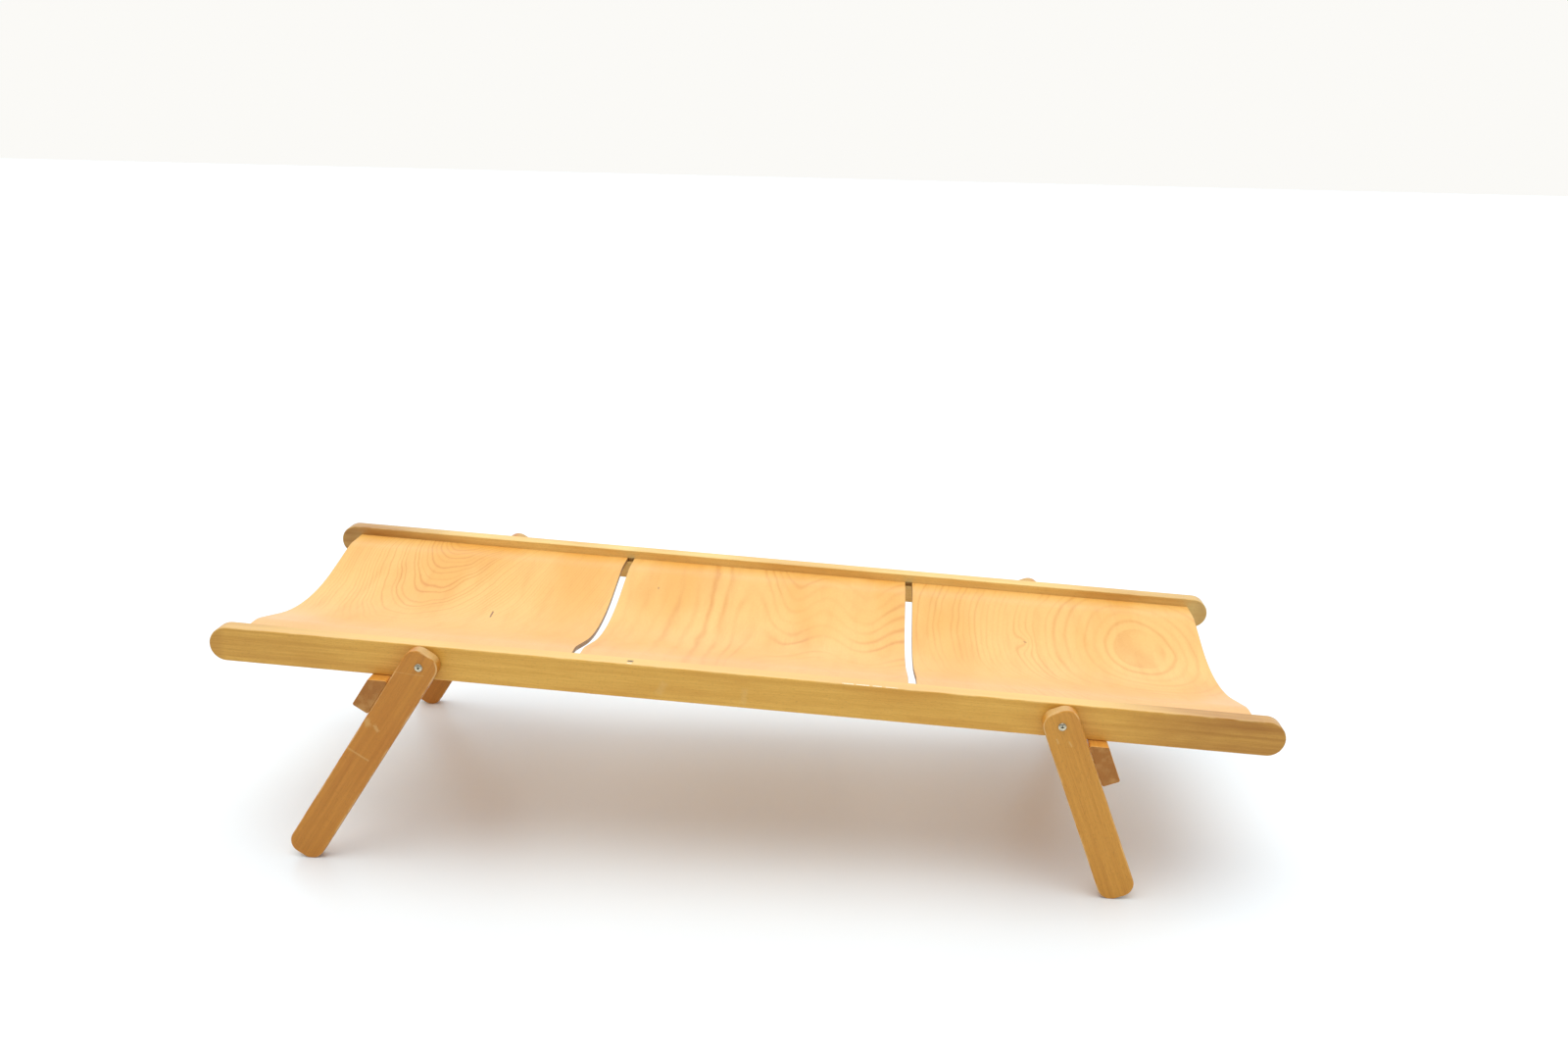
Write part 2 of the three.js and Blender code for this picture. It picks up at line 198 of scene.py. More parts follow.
class Bench:
    """A node tree, and the ways to put nodes on it."""

    def __init__(self, owner: bpy.types.Material | bpy.types.World) -> None:
        """Clears the owner's node tree to work on it."""
        owner.use_nodes = True
        self.tree = owner.node_tree
        self.tree.nodes.clear()

    def put(
        self,
        kind: str,
        settings: dict[str, Any] | None = None,
        sockets: dict[str | int, Value] | None = None,
        out: str | int | None = 0,
    ) -> Wire | None:
        """Adds a node.

        Args:
            kind: the node's type.
            settings: what the node is set to, before its sockets are fed.
            sockets: the value or the wire that each input takes, by name or place.
            out: the output that is wanted, by name or place; None for a node that has none.

        Returns:
            The node's output.
        """
        node = self.tree.nodes.new(kind)
        for name, value in (settings or {}).items():
            setattr(node, name, value)
        for key, value in (sockets or {}).items():
            self.feed(node.inputs[key], value)
        return None if out is None else Wire(self, node.outputs[out])

    def feed(self, socket: bpy.types.NodeSocket, value: Value) -> None:
        """Links a wire to a socket, or sets the socket to a number or a colour.

        Args:
            socket: the input.
            value: the wire, number, vector or colour that it takes.
        """
        if isinstance(value, Wire):
            self.tree.links.new(value.socket, socket)
        elif isinstance(value, (int, float)):
            socket.default_value = value
        elif len(value) == 3 and len(socket.default_value) == 4:
            socket.default_value = (*value, 1.0)
        else:
            socket.default_value = value

    def place(self) -> Wire:
        """The point on the piece, in the board's own frame."""
        return self.put("ShaderNodeAttribute", {"attribute_name": PLACE}, out="Vector")

    def facing(self) -> list[Wire]:
        """The surface normal in the board's own frame, as its three parts."""
        return self.split(self.put("ShaderNodeAttribute", {"attribute_name": FACING}, out="Vector"))

    def split(self, vector: Wire) -> list[Wire]:
        """The three parts of a vector."""
        return [self.put("ShaderNodeSeparateXYZ", sockets={0: vector}, out=i) for i in range(3)]

    def trait(self, name: str) -> Wire:
        """A number that the mesh carries at each of its points."""
        return self.put("ShaderNodeAttribute", {"attribute_name": name}, out="Fac")

    def noise(self, at: Wire, pitch: Sequence[float], seed: float, detail: float = 2.0) -> Wire:
        """Smooth noise about 0.5, stretched as grain is.

        Args:
            at: where on the piece.
            pitch: how many blotches there are in a metre, along each axis.
            seed: shifts the noise, so that no two boards match.
            detail: how many finer octaves are laid over it.

        Returns:
            The noise.
        """
        shift = (seed * 3.17, seed * 7.31, seed * 5.53)
        spread = self.put("ShaderNodeVectorMath", {"operation": "MULTIPLY_ADD"}, {0: at, 1: pitch, 2: shift})
        return self.put("ShaderNodeTexNoise", sockets={"Vector": spread, "Scale": 1.0, "Detail": detail})

    def blend(self, mask: Value, under: Value, over: Value) -> Wire:
        """Lays one colour over another.

        Args:
            mask: how much of the upper colour shows, from 0 to 1.
            under: the lower colour.
            over: the upper colour.

        Returns:
            The mixed colour.
        """
        return self.put("ShaderNodeMix", {"data_type": "RGBA"}, {0: mask, 6: under, 7: over}, out=2)

    def relief(self, height: Wire, depth: float, strength: float) -> Wire:
        """A bumped normal.

        Args:
            height: the relief, from 0 to 1.
            depth: how deep that relief is.
            strength: how much of it shows.

        Returns:
            The normal.
        """
        sockets = {"Height": height, "Distance": depth, "Strength": strength}
        return self.put("ShaderNodeBump", sockets=sockets)


class MaterialBench(Bench):
    """The node tree of one material, with its Principled shader."""

    def __init__(self, name: str) -> None:
        """Starts a material that holds only the shader and its output."""
        self.material = bpy.data.materials.new(name)
        super().__init__(self.material)
        self.shader = self.tree.nodes.new("ShaderNodeBsdfPrincipled")
        self.put("ShaderNodeOutputMaterial", sockets={0: Wire(self, self.shader.outputs[0])}, out=None)

    def finish(self, **sockets: Value) -> bpy.types.Material:
        """Feeds the shader and hands the material over.

        Args:
            sockets: what each input takes, by its name with underscores for spaces.

        Returns:
            The material.
        """
        for name, value in sockets.items():
            self.feed(self.shader.inputs[name.replace("_", " ")], value)
        return self.material


# Finishes


def darker(colour: Colour, share: float) -> Colour:
    """A colour that keeps only a share of its light."""
    return tuple(share * part for part in colour)


@dataclass(frozen=True)
class Mark:
    """A scratch, dent or stain: a soft-edged bar on one face, in the board's own frame.

    Attributes:
        along: its middle along the grain.
        across: its middle across the face.
        length: how long it is.
        width: how wide it is.
        turn: degrees between the bar and the grain.
        strength: how much of its tint shows.
        tint: its colour.
        face: the face that it lies on.
    """

    along: float
    across: float
    length: float
    width: float
    turn: float
    strength: float
    tint: Colour
    face: Face = Face.BROAD

    def mask(self, bench: Bench, at: Wire) -> Wire:
        """Draws the mark.

        Args:
            bench: the material's bench.
            at: where on the board.

        Returns:
            How much of the mark's tint shows at that point.
        """
        x, y, z = bench.split(at)
        normal = bench.facing()
        across, facing = (y, normal[2]) if self.face is Face.BROAD else (z, normal[1])
        away = x - self.along
        aside = across - self.across
        turn = math.radians(self.turn)
        cos, sin = math.cos(turn), math.sin(turn)
        ragged = (bench.noise(at, (400, 400, 400), self.along * 9) - 0.5) * self.width
        over_length = abs(away * cos + aside * sin) - self.length / 2
        over_width = abs(aside * cos - away * sin) - self.width / 2
        soft = self.width * 0.35
        inside = (over_length.larger(over_width) + ragged).rise(soft, -soft)
        return inside * facing.rise(0.7, 0.9) * self.strength


@dataclass(frozen=True)
class SolidBeech:
    """Solid beech under aged satin lacquer.

    Attributes:
        name: the material's name.
        pale: the early wood.
        deep: the late wood and the darker streaks.
        ripe: the broad orange-brown patches.
        butt: the end grain.
        worn: the lacquer rubbed thin along the arrises, and the paler colour of the painted highlight on the
            top face.
        seed: sets this board's own figure.
        pith: how far the tree's middle lies from the board's, across its width and through its thickness.
        ring: how far apart the growth rings are.
        ripeness: how much of the board the broad patches cover, from 0 to 1.
        wear: how much the arrises are rubbed.
        marks: scratches and stains.
        bleach: how much paler the top face is painted, from 0 to 1, a painted highlight for the light from
            overhead.
        soiled_from: between which distances from the middle the board's ends darken, if they do.
        soil: the dark brown of such ends, partly the wood's own deeper tone there and partly painted shade
            beside the legs.
    """

    name: str
    pale: Colour
    deep: Colour
    ripe: Colour
    butt: Colour
    worn: Colour
    seed: float
    pith: Point
    ring: float
    ripeness: float
    wear: float
    marks: tuple[Mark, ...] = ()
    bleach: float = 0.0
    soiled_from: Point | None = None
    soil: Colour = (0.32, 0.105, 0.008)

    def _rings(self, bench: Bench, at: Wire) -> Wire:
        """The late-wood lines, each ring with its own strength.

        Args:
            bench: the material's bench.
            at: where on the board.

        Returns:
            How dark the wood is there, from 0 to 1.
        """
        x, y, z = bench.split(at)
        wander = bench.noise(at, (1.6, 9, 9), self.seed, 1.0) * 0.030
        reach = ((y - self.pith[0]) ** 2 + (z - self.pith[1]) ** 2).root() + wander + x * 0.006
        line = ((reach * (TAU / self.ring)).sine() * 0.5 + 0.5) ** 3
        strength = bench.noise(at, (1.1, 60, 60), self.seed + 2, 1.0).rise(0.35, 0.75)
        return line * strength

    def _soiling(self, along: Wire, uneven: Wire) -> Wire:
        """How dark the board's ends are made: partly their own deeper tone, partly painted shade beside the
        legs.

        Args:
            along: how far along the board.
            uneven: how blotchy the darkening is, from 0 to 1.

        Returns:
            The mask: full towards the +x end, weaker towards the other, and a band round either tip.
        """
        start, stop = self.soiled_from
        near_end = along.rise(start, stop).larger(along.rise(-start, -stop) * 0.45)
        tip = abs(along).rise(stop - 0.01, stop + 0.035)
        return (near_end * (uneven + 0.42)).larger(tip * 0.40)

    def material(self) -> bpy.types.Material:
        """Mixes the finish.

        Returns:
            The material.
        """
        bench = MaterialBench(self.name)
        at = bench.place()
        normal = bench.facing()
        end = abs(normal[0]).rise(0.72, 0.97)
        rings = self._rings(bench, at)
        streak = bench.noise(at, (2.2, 150, 150), self.seed + 4, 3.0).rise(0.30, 0.74)
        fibre = bench.noise(at, (26, 900, 900), self.seed + 6).rise(0.25, 0.75)
        fleck = bench.noise(at, (170, 1500, 1500), self.seed + 8, 0.0).rise(0.64, 0.74)
        patch = bench.noise(at, (4.5, 15, 15), self.seed + 10, 5.0).rise(0.54 - 0.3 * self.ripeness, 0.74)
        figure = (streak * 0.36 + rings * 0.20 + fibre * 0.30).smaller(1.0)
        colour = bench.blend(figure, self.pale, self.deep)
        colour = bench.blend(patch * self.ripeness, colour, self.ripe)
        colour = bench.blend(fleck * 0.30 * (1 - end), colour, darker(self.deep, 0.55))
        pores = bench.noise(at, (700, 1300, 1300), self.seed + 12, 1.0).rise(0.45, 0.7)
        butt = bench.blend(pores * 0.5 + rings * 0.25, self.butt, darker(self.butt, 0.55))
        colour = bench.blend(end, colour, butt)
        # Painted highlight: the top face is made paler where the light from overhead falls on it.
        if self.bleach:
            colour = bench.blend(normal[1].rise(0.75, 0.97) * self.bleach, colour, self.worn)
        # Painted shade beside the legs, mixed with the wood's own deeper tone: the ends are darkened.
        if self.soiled_from:
            end_darkening = self._soiling(bench.split(at)[0], patch * 0.35 + streak * 0.20)
            colour = bench.blend(end_darkening, colour, self.soil)
        rub = bench.noise(at, (22, 60, 60), self.seed + 14, 3.0).rise(0.40, 0.68) * bench.trait("arris")
        colour = bench.blend(rub * self.wear, colour, self.worn)
        for mark in self.marks:
            colour = bench.blend(mark.mask(bench, at), colour, mark.tint)
        handling = bench.noise(at, (9, 30, 30), self.seed + 16, 3.0)
        roughness = 0.34 + handling * 0.16 + rub * 0.15 + end * 0.15
        grain = fibre * 0.6 + (1 - fleck) * 0.3 + (1 - rings) * 0.2
        return bench.finish(
            Base_Color=colour,
            Roughness=roughness,
            Normal=bench.relief(grain, 0.00022, 0.55),
            Specular_IOR_Level=0.34,
            Coat_Weight=0.12 - rub * 0.1,
            Coat_Roughness=0.22,
        )


@dataclass(frozen=True)
class Veneer:
    """Rotary-cut beech veneer on a moulded panel, x along the grain and -y towards the foot end.

    Attributes:
        name: the material's name.
        figure: how the growth rings run.
        ring: how far apart the ring lines are.
        contrast: how strongly the ring lines show.
        seed: sets this panel's own figure.
        marks: cracks and pin knots.
        fineness: how narrow the ring lines are against their spacing.
        pale: the early wood.
        deep: the ring lines.
        blush: the pinker cast of the front flank.
        amber: the clouds of darker lacquer.
    """

    name: str
    figure: Figure
    ring: float
    contrast: float
    seed: float
    marks: tuple[Mark, ...]
    fineness: float = 3.0
    pale: Colour = (0.86, 0.52, 0.150)
    deep: Colour = (0.68, 0.26, 0.034)
    blush: Colour = (0.84, 0.45, 0.190)
    amber: Colour = (0.80, 0.37, 0.050)

    def _height(self, bench: Bench, at: Wire) -> Wire:
        """The height field whose level lines are the growth rings.

        Args:
            bench: the material's bench.
            at: where on the panel.

        Returns:
            The height, in metres of ring growth.
        """
        along, aside, _ = bench.split(at)
        across = aside * -1.0
        wander = (bench.noise(at, (5.5, 9, 0), self.seed, 2.0) - 0.5) * 0.030
        if self.figure is Figure.CATHEDRAL:
            rise = (along - 0.72) * 0.225
            spread = across + 0.086 - along * 0.11
            return (spread * spread + rise * rise).root() + wander * 0.8
        if self.figure is Figure.OVALS:
            rise = (along - 0.11) / 1.6
            spread = across - 0.170
            swirl = (((along - 0.103) / 0.034) ** 2 + ((across + 0.07) / 0.018) ** 2).root().bell() * 0.020
            reach = (spread * spread + rise * rise).root().larger(0.050) + wander * 0.9 + swirl
            return reach + (reach - 0.19).larger(0.0) * 0.8
        roll = ((across - 0.094) * (TAU / 0.172)).sine() * 0.026
        right = across.rise(-0.07, 0.09)
        waves = along * 0.55 - roll * 0.9
        return waves * right - across * (1 - right) * 0.8 + wander * 1.1

    def material(self) -> bpy.types.Material:
        """Mixes the finish.

        Returns:
            The material.
        """
        bench = MaterialBench(self.name)
        at = bench.place()
        along, aside, _ = bench.split(at)
        height = self._height(bench, at)
        jitter = bench.noise(at, (18, 40, 0), self.seed + 1) * 0.0020
        turns = (height + jitter) / self.ring
        line = ((turns * TAU).sine() * 0.5 + 0.5) ** self.fineness
        own = bench.put("ShaderNodeTexNoise", {"noise_dimensions": "1D"}, {"W": turns * 0.55, "Scale": 1.0})
        somewhere = bench.noise(at, (3.2, 6.5, 0), self.seed + 3, 2.0).rise(0.38, 0.62)
        if self.figure is Figure.CATHEDRAL:
            arch = along.rise(-0.16, 0.10) * ((0.075 - aside) / 0.19).bell()
            somewhere = arch.larger(somewhere * 0.3)
        rings = line * own.rise(0.30, 0.62) * (somewhere * 0.8 + 0.2)
        cloud = bench.noise(at, (2.2, 6, 0), self.seed + 5, 4.0).rise(0.42, 0.66)
        across_bed = along.rise(0.02, 0.33) * 0.25
        flame = bench.noise(at, (5, 34, 0), self.seed + 15, 3.0).rise(0.46, 0.74)
        fibre = bench.noise(at, (16, 650, 650), self.seed + 7).rise(0.25, 0.75)
        fleck = bench.noise(at, (260, 1300, 900), self.seed + 9, 0.0).rise(0.63, 0.72)
        colour = bench.blend(cloud * 0.55 + across_bed, self.pale, self.amber)
        figure = (rings * self.contrast + flame * 0.20 + fibre * 0.16).smaller(1.0)
        colour = bench.blend(figure, colour, self.deep)
        front = along.rise(0.05, -0.30) * 0.55 + bench.noise(at, (2, 4, 0), self.seed + 11) * 0.15
        colour = bench.blend(front, colour, self.blush)
        colour = bench.blend(fleck * 0.16, colour, darker(self.deep, 0.6))
        for mark in self.marks:
            colour = bench.blend(mark.mask(bench, at), colour, mark.tint)
        roughness = 0.36 + bench.noise(at, (8, 14, 14), self.seed + 13, 3.0) * 0.14
        grain = fibre * 0.6 + (1 - fleck) * 0.3 + (1 - rings) * 0.15
        return bench.finish(
            Base_Color=colour,
            Roughness=roughness,
            Normal=bench.relief(grain, 0.00016, 0.5),
            Specular_IOR_Level=0.36,
            Coat_Weight=0.14,
            Coat_Roughness=0.24,
        )


@dataclass(frozen=True)
class PlyEdge:
    """The cut edge of the moulded ply, with its glued layers.

    Attributes:
        name: the material's name.
        long_grain: the layers whose grain runs along the edge.
        end_grain: the layers cut across their grain.
        glue: the lines between them.
        layer: how thick one layer is.
    """

    name: str = "ply edge"
    long_grain: Colour = (0.62, 0.33, 0.105)
    end_grain: Colour = (0.40, 0.19, 0.055)
    glue: Colour = (0.15, 0.065, 0.022)
    layer: float = 0.0018

    def material(self) -> bpy.types.Material:
        """Mixes the finish.

        Returns:
            The material.
        """
        bench = MaterialBench(self.name)
        at = bench.place()
        uneven = (bench.noise(at, (12, 12, 12), 31, 2.0) - 0.5) * 0.0003
        turns = (bench.trait("depth") + uneven) / self.layer
        crossed = (turns * (TAU / 2)).sine().rise(-0.12, 0.12)
        glue = abs((turns * (TAU / 2)).sine()).rise(0.24, 0.05)
        fibre = bench.noise(at, (90, 1400, 1400), 33)
        pores = bench.noise(at, (1500, 1500, 1500), 35, 1.0).rise(0.45, 0.7)
        long_grain = bench.blend(fibre * 0.6, self.long_grain, self.end_grain)
        end_grain = bench.blend(pores * 0.6, self.end_grain, self.glue)
        colour = bench.blend(crossed, long_grain, end_grain)
        colour = bench.blend(glue * 0.7, colour, self.glue)
        return bench.finish(
            Base_Color=colour,
            Roughness=0.5 + pores * 0.12,
            Normal=bench.relief(1 - pores * 0.5 - glue * 0.5, 0.0002, 0.6),
            Coat_Weight=0.12,
            Coat_Roughness=0.3,
        )


@dataclass(frozen=True)
class Metal:
    """A turned metal fitting, x and y across its axis and z along it.

    Attributes:
        name: the material's name.
        bright: the metal.
        dull: the metal where it has lost its shine.
        roughness: how rough the bright metal is.
        grime: the darker colour inside the driver's recess.
        recess: how far the recess reaches from the axis; 0 where there is none.
        floor: the height below which the recess is darker.
    """

    name: str
    bright: Colour
    dull: Colour
    roughness: float
    grime: Colour = (0.05, 0.04, 0.03)
    recess: float = 0.0
    floor: float = 0.0

    def material(self) -> bpy.types.Material:
        """Mixes the finish.

        Returns:
            The material.
        """
        bench = MaterialBench(self.name)
        at = bench.place()
        x, y, z = bench.split(at)
        out = (x * x + y * y).root()
        cloud = bench.noise(at, (260, 260, 260), 41, 3.0).rise(0.35, 0.75)
        turning = ((out * 9000).sine() * 0.5 + 0.5) * 0.5 + bench.noise(at, (1500, 1500, 1500), 43) * 0.5
        colour = bench.blend(cloud * 0.6, self.bright, self.dull)
        metal = 1 - cloud * 0.05
        # Darker inside the driver's recess, below the floor height.
        if self.recess > 0:
            recess_darkening = out.rise(self.recess, self.recess * 0.8) * z.rise(self.floor, self.floor - 0.0005)
            recess_darkening = recess_darkening * (0.80 + cloud * 0.20)
            colour = bench.blend(recess_darkening, colour, self.grime)
            metal = metal - recess_darkening * 0.7
        return bench.finish(
            Base_Color=colour,
            Metallic=metal,
            Roughness=self.roughness + cloud * 0.12,
            Normal=bench.relief(turning, 0.00003, 0.5),
        )


@dataclass(frozen=True)
class StudioFloor:
    """Matt white paint on a smooth floor.

    Attributes:
        name: the material's name.
        white: the paint where it is clean.
        shade: the paint where it is dull.
    """

    name: str = "studio floor"
    white: Colour = (0.87, 0.90, 0.92)
    shade: Colour = (0.85, 0.88, 0.90)

    def material(self) -> bpy.types.Material:
        """Mixes the finish.

        Returns:
            The material.
        """
        bench = MaterialBench(self.name)
        at = bench.place()
        cloud = bench.noise(at, (1.2, 1.2, 1.2), 51, 3.0)
        roller = bench.noise(at, (160, 160, 160), 53, 2.0)
        return bench.finish(
            Base_Color=bench.blend(cloud, self.white, self.shade),
            Roughness=0.30 + roller * 0.1,
            Normal=bench.relief(roller, 0.0001, 0.15),
        )


# Mesh work


def rounded_hull(centres: Sequence[Point], radius: float, steps: int) -> list[Point]:
    """Walks round an outline of equal arcs joined by straight edges.

    Args:
        centres: the middles of the arcs, anticlockwise.
        radius: the radius of the arcs.
        steps: how many straight steps make one arc.

    Returns:
        The points of the outline, anticlockwise.
    """
    points: list[Point] = []
    for i, (x, y) in enumerate(centres):
        before = centres[i - 1]
        after = centres[(i + 1) % len(centres)]
        start = math.atan2(before[0] - x, y - before[1])
        stop = math.atan2(x - after[0], after[1] - y)
        turn = (stop - start) % TAU
        for k in range(steps + 1):
            angle = start + turn * k / steps
            points.append((x + radius * math.cos(angle), y + radius * math.sin(angle)))
    return points


def inset_corners(corners: Sequence[Point], inset: float) -> list[Point]:
    """Moves each corner of a convex outline inwards, so that it lies the inset away from both its edges.

    Args:
        corners: the corners, anticlockwise.
        inset: how far inside the edges the new corners lie.

    Returns:
        The new corners.
    """
    moved: list[Point] = []
    for i, corner in enumerate(corners):
        here = Vector(corner)
        entry = (here - Vector(corners[i - 1])).normalized()
        leave = (Vector(corners[(i + 1) % len(corners)]) - here).normalized()
        first = Vector((-entry.y, entry.x))
        second = Vector((-leave.y, leave.x))
        point = here + (first + second) * (inset / (1 + first.dot(second)))
        moved.append((point.x, point.y))
    return moved


def eased_stations(half: float, easing: float, steps: int) -> list[tuple[float, float, float]]:
    """Places through a board, from its far face to its near one, with both faces' arrises rounded.

    Args:
        half: half the board's thickness.
        easing: the radius of the arrises.
        steps: how many straight steps make one arris.

    Returns:
        For each place its height, how far the outline is drawn in there, and how exposed it is, from 0 to 1.
    """
    low = []
    for k in range(steps + 1):
        angle = TAU / 4 * k / steps
        drawn_in = easing * (1 - math.sin(angle))
        low.append((-half + easing * (1 - math.cos(angle)), drawn_in, math.sin(2 * angle)))
    return low + [(-height, drawn_in, exposed) for height, drawn_in, exposed in reversed(low)]


def loft(
    name: str,
    rings: Sequence[Sequence[Vector]],
    trait: str = "arris",
    values: Sequence[Sequence[float]] | None = None,
    closed: bool = False,
) -> bpy.types.Object:
    """Skins a row of rings, all with the same number of points.

    Args:
        name: the piece's name.
        rings: the points of each ring.
        trait: the name of the number that each point carries.
        values: that number at each point; 0 everywhere if left out.
        closed: whether the last ring joins the first, instead of both being capped.

    Returns:
        The new object.
    """
    shape = bmesh.new()
    layer = shape.verts.layers.float.new(trait)
    rows = [[shape.verts.new(point) for point in ring] for ring in rings]
    for row, numbers in zip(rows, values or []):
        for vert, number in zip(row, numbers):
            vert[layer] = number
    pairs = list(zip(rows, rows[1:]))
    if closed:
        pairs.append((rows[-1], rows[0]))
    else:
        shape.faces.new(reversed(rows[0]))
        shape.faces.new(rows[-1])
    for low, high in pairs:
        for i in range(len(low)):
            j = (i + 1) % len(low)
            shape.faces.new((low[i], low[j], high[j], high[i]))
    bmesh.ops.recalc_face_normals(shape, faces=shape.faces)
    mesh = bpy.data.meshes.new(name)
    shape.to_mesh(mesh)
    shape.free()
    piece = bpy.data.objects.new(name, mesh)
    bpy.context.scene.collection.objects.link(piece)
    return piece


def rounded_board(
    name: str,
    centres: Sequence[Point],
    radius: float,
    thickness: float,
    easing: float,
) -> bpy.types.Object:
    """A flat board with rounded ends or corners and eased arrises.

    Args:
        name: the piece's name.
        centres: the middles of its corner arcs, anticlockwise, x along the grain and y across it.
        radius: the radius of the corner arcs.
        thickness: how thick it is, half to each side of z = 0.
        easing: the radius of its arrises.

    Returns:
        The board.
    """
    steps = OUTLINE_STEPS // len(centres)
    rings = []
    values = []
    for height, drawn_in, exposed in eased_stations(thickness / 2, easing, ARRIS_STEPS):
        outline = rounded_hull(centres, radius - drawn_in, steps)
        rings.append([Vector((x, y, height)) for x, y in outline])
        values.append([exposed] * len(outline))
    return loft(name, rings, values=values)


def circle(out: float, height: float, steps: int) -> list[Vector]:
    """A level ring about z.

    Args:
        out: its radius.
        height: how high it lies.
        steps: how many straight steps go round it.

    Returns:
        The points of the ring.
    """
    angles = [TAU * k / steps for k in range(steps)]
    return [Vector((out * math.cos(angle), out * math.sin(angle), height)) for angle in angles]


def turned(name: str, profile: Sequence[Point], steps: int) -> bpy.types.Object:
    """A solid turned about z.

    Args:
        name: the piece's name.
        profile: distance from the axis and height, from the bottom up, never quite reaching the axis.
        steps: how many straight steps go round it.

    Returns:
        The solid.
    """
    return loft(name, [circle(out, height, steps) for out, height in profile])


def sleeve(name: str, section: Sequence[Point], steps: int) -> bpy.types.Object:
    """A ring or tube turned about z.

    Args:
        name: the piece's name.
        section: the corners of its section, as distance from the axis and height.
        steps: how many straight steps go round it.

    Returns:
        The ring.
    """
    rings = []
    for k in range(steps):
        angle = TAU * k / steps
        rings.append([Vector((out * math.cos(angle), out * math.sin(angle), up)) for out, up in section])
    return loft(name, rings, closed=True)


@dataclass(frozen=True)
class Thread:
    """A screw thread on a turned shank.

    Attributes:
        crest: the thread's outer radius.
        depth: how far its root lies below the crest.
        pitch: how far it climbs in one turn.
        start: the height at which it starts.
        stop: the height at which it ends.
        taper: the share of its radius that it has lost at the start.
    """

    crest: float
    depth: float
    pitch: float
    start: float
    stop: float
    taper: float

    def rings(self, steps: int) -> list[list[Vector]]:
        """The helix as rings that bulge where the thread passes.

        Args:
            steps: how many straight steps go round it.

        Returns:
            The rings, from the start to the stop.
        """
        rows = max(4, round((self.stop - self.start) / self.pitch * 5))
        rings = []
        for i in range(rows + 1):
            height = self.start + (self.stop - self.start) * i / rows
            slim = 1 - self.taper * max(0.0, 1 - 5 * i / rows)
            ring = []
            for k in range(steps):
                angle = TAU * k / steps
                phase = (height / self.pitch - k / steps) % 1
                out = (self.crest - self.depth * abs(2 * phase - 1)) * slim
                ring.append(Vector((out * math.cos(angle), out * math.sin(angle), height)))
            rings.append(ring)
        return rings


def drill(radius: float, low: float, high: float, place: Matrix) -> bpy.types.Object:
    """A cutter for a round hole.

    Args:
        radius: the hole's radius.
        low: where it starts along its axis.
        high: where it ends.
        place: where the axis lies.

    Returns:
        The cutter.
    """
    cutter = turned("drill", [(radius, low), (radius, high)], HOLE_STEPS)
    cutter.matrix_world = place
    return cutter


def slot_cutter(length: float, width: float, low: float, high: float, middle: Vector) -> bpy.types.Object:
    """A cutter for a straight slot along x.

    Args:
        length: how long the slot is.
        width: how wide it is, along y.
        low: the depth at which it ends, along z.
        high: the height at which it starts.
        middle: the middle of its mouth.

    Returns:
        The cutter.
    """
    x, y = length / 2, width / 2
    corners = [(-x, -y), (x, -y), (x, y), (-x, y)]
    rings = [[middle + Vector((*corner, height)) for corner in corners] for height in (low, high)]
    return loft("slot", rings)


def cross_cutter(arm: float, width: float, top: float, depth: float) -> bpy.types.Object:
    """A cutter for a driver's cross recess, tapering as it goes down.

    Args:
        arm: the reach of an arm from the axis.
        width: half an arm's width.
        top: the height that it starts from.
        depth: how deep it goes.

    Returns:
        The cutter.
    """
    rings = []
    for height, taper in ((top, 1.1), (top - depth, 0.62)):
        a, b = arm * taper, width * taper
        quarter = [(a, -b), (a, b), (b, b)]
        ring = []
        for turn in range(4):
            spin = Matrix.Rotation(TAU / 4 * turn, 3, "Z")
            ring += [spin @ Vector((x, y, height)) for x, y in quarter]
        rings.append(ring)
    return loft("cross", rings)


def carve(piece: bpy.types.Object, cutters: Iterable[bpy.types.Object]) -> None:
    """Cuts the cutters out of a piece for good, and clears them away.

    Args:
        piece: the piece.
        cutters: what is cut out of it.
    """
    cutters = list(cutters)
    for cutter in cutters:
        cut = piece.modifiers.new("cut", "BOOLEAN")
        cut.operation = "DIFFERENCE"
        cut.solver = "EXACT"
        cut.object = cutter
    bpy.context.view_layer.update()
    graph = bpy.context.evaluated_depsgraph_get()
    mesh = bpy.data.meshes.new_from_object(piece.evaluated_get(graph), depsgraph=graph)
    piece.modifiers.clear()
    piece.data = mesh
    piece.data.materials.clear()
    for cutter in cutters:
        bpy.data.objects.remove(cutter)


def smooth(piece: bpy.types.Object, angle: float = SHARP) -> None:
    """Shades a piece smooth, with each face's light weighted by its size.

    Args:
        piece: the piece.
        angle: the angle between two faces above which their edge stays sharp.
    """
    piece.data.shade_smooth()
    piece.data.set_sharp_from_angle(angle=angle)
    even = piece.modifiers.new("even light", "WEIGHTED_NORMAL")
    even.keep_sharp = True


def basis(x: Vector, y: Vector, z: Vector, origin: Vector) -> Matrix:
    """The placing of a frame.

    Args:
        x: the direction of its first axis.
        y: the direction of its second.
        z: the direction of its third.
        origin: where it stands.

    Returns:
        The placing.
    """
    place = Matrix((x, y, z)).transposed().to_4x4()
    place.translation = origin
    return place


def lay(piece: bpy.types.Object, place: Matrix) -> None:
    """Lays a finished piece in place, and writes into its mesh where each point lies on the board itself.

    Args:
        piece: the piece, still in its own frame.
        place: its placing in the row's frame.
    """
    mesh = piece.data
    spots = [number for vert in mesh.vertices for number in vert.co]
    mesh.attributes.new(PLACE, "FLOAT_VECTOR", "POINT").data.foreach_set("vector", spots)
    normals = [number for corner in mesh.corner_normals for number in corner.vector]
    mesh.attributes.new(FACING, "FLOAT_VECTOR", "CORNER").data.foreach_set("vector", normals)
    mesh.transform(place)


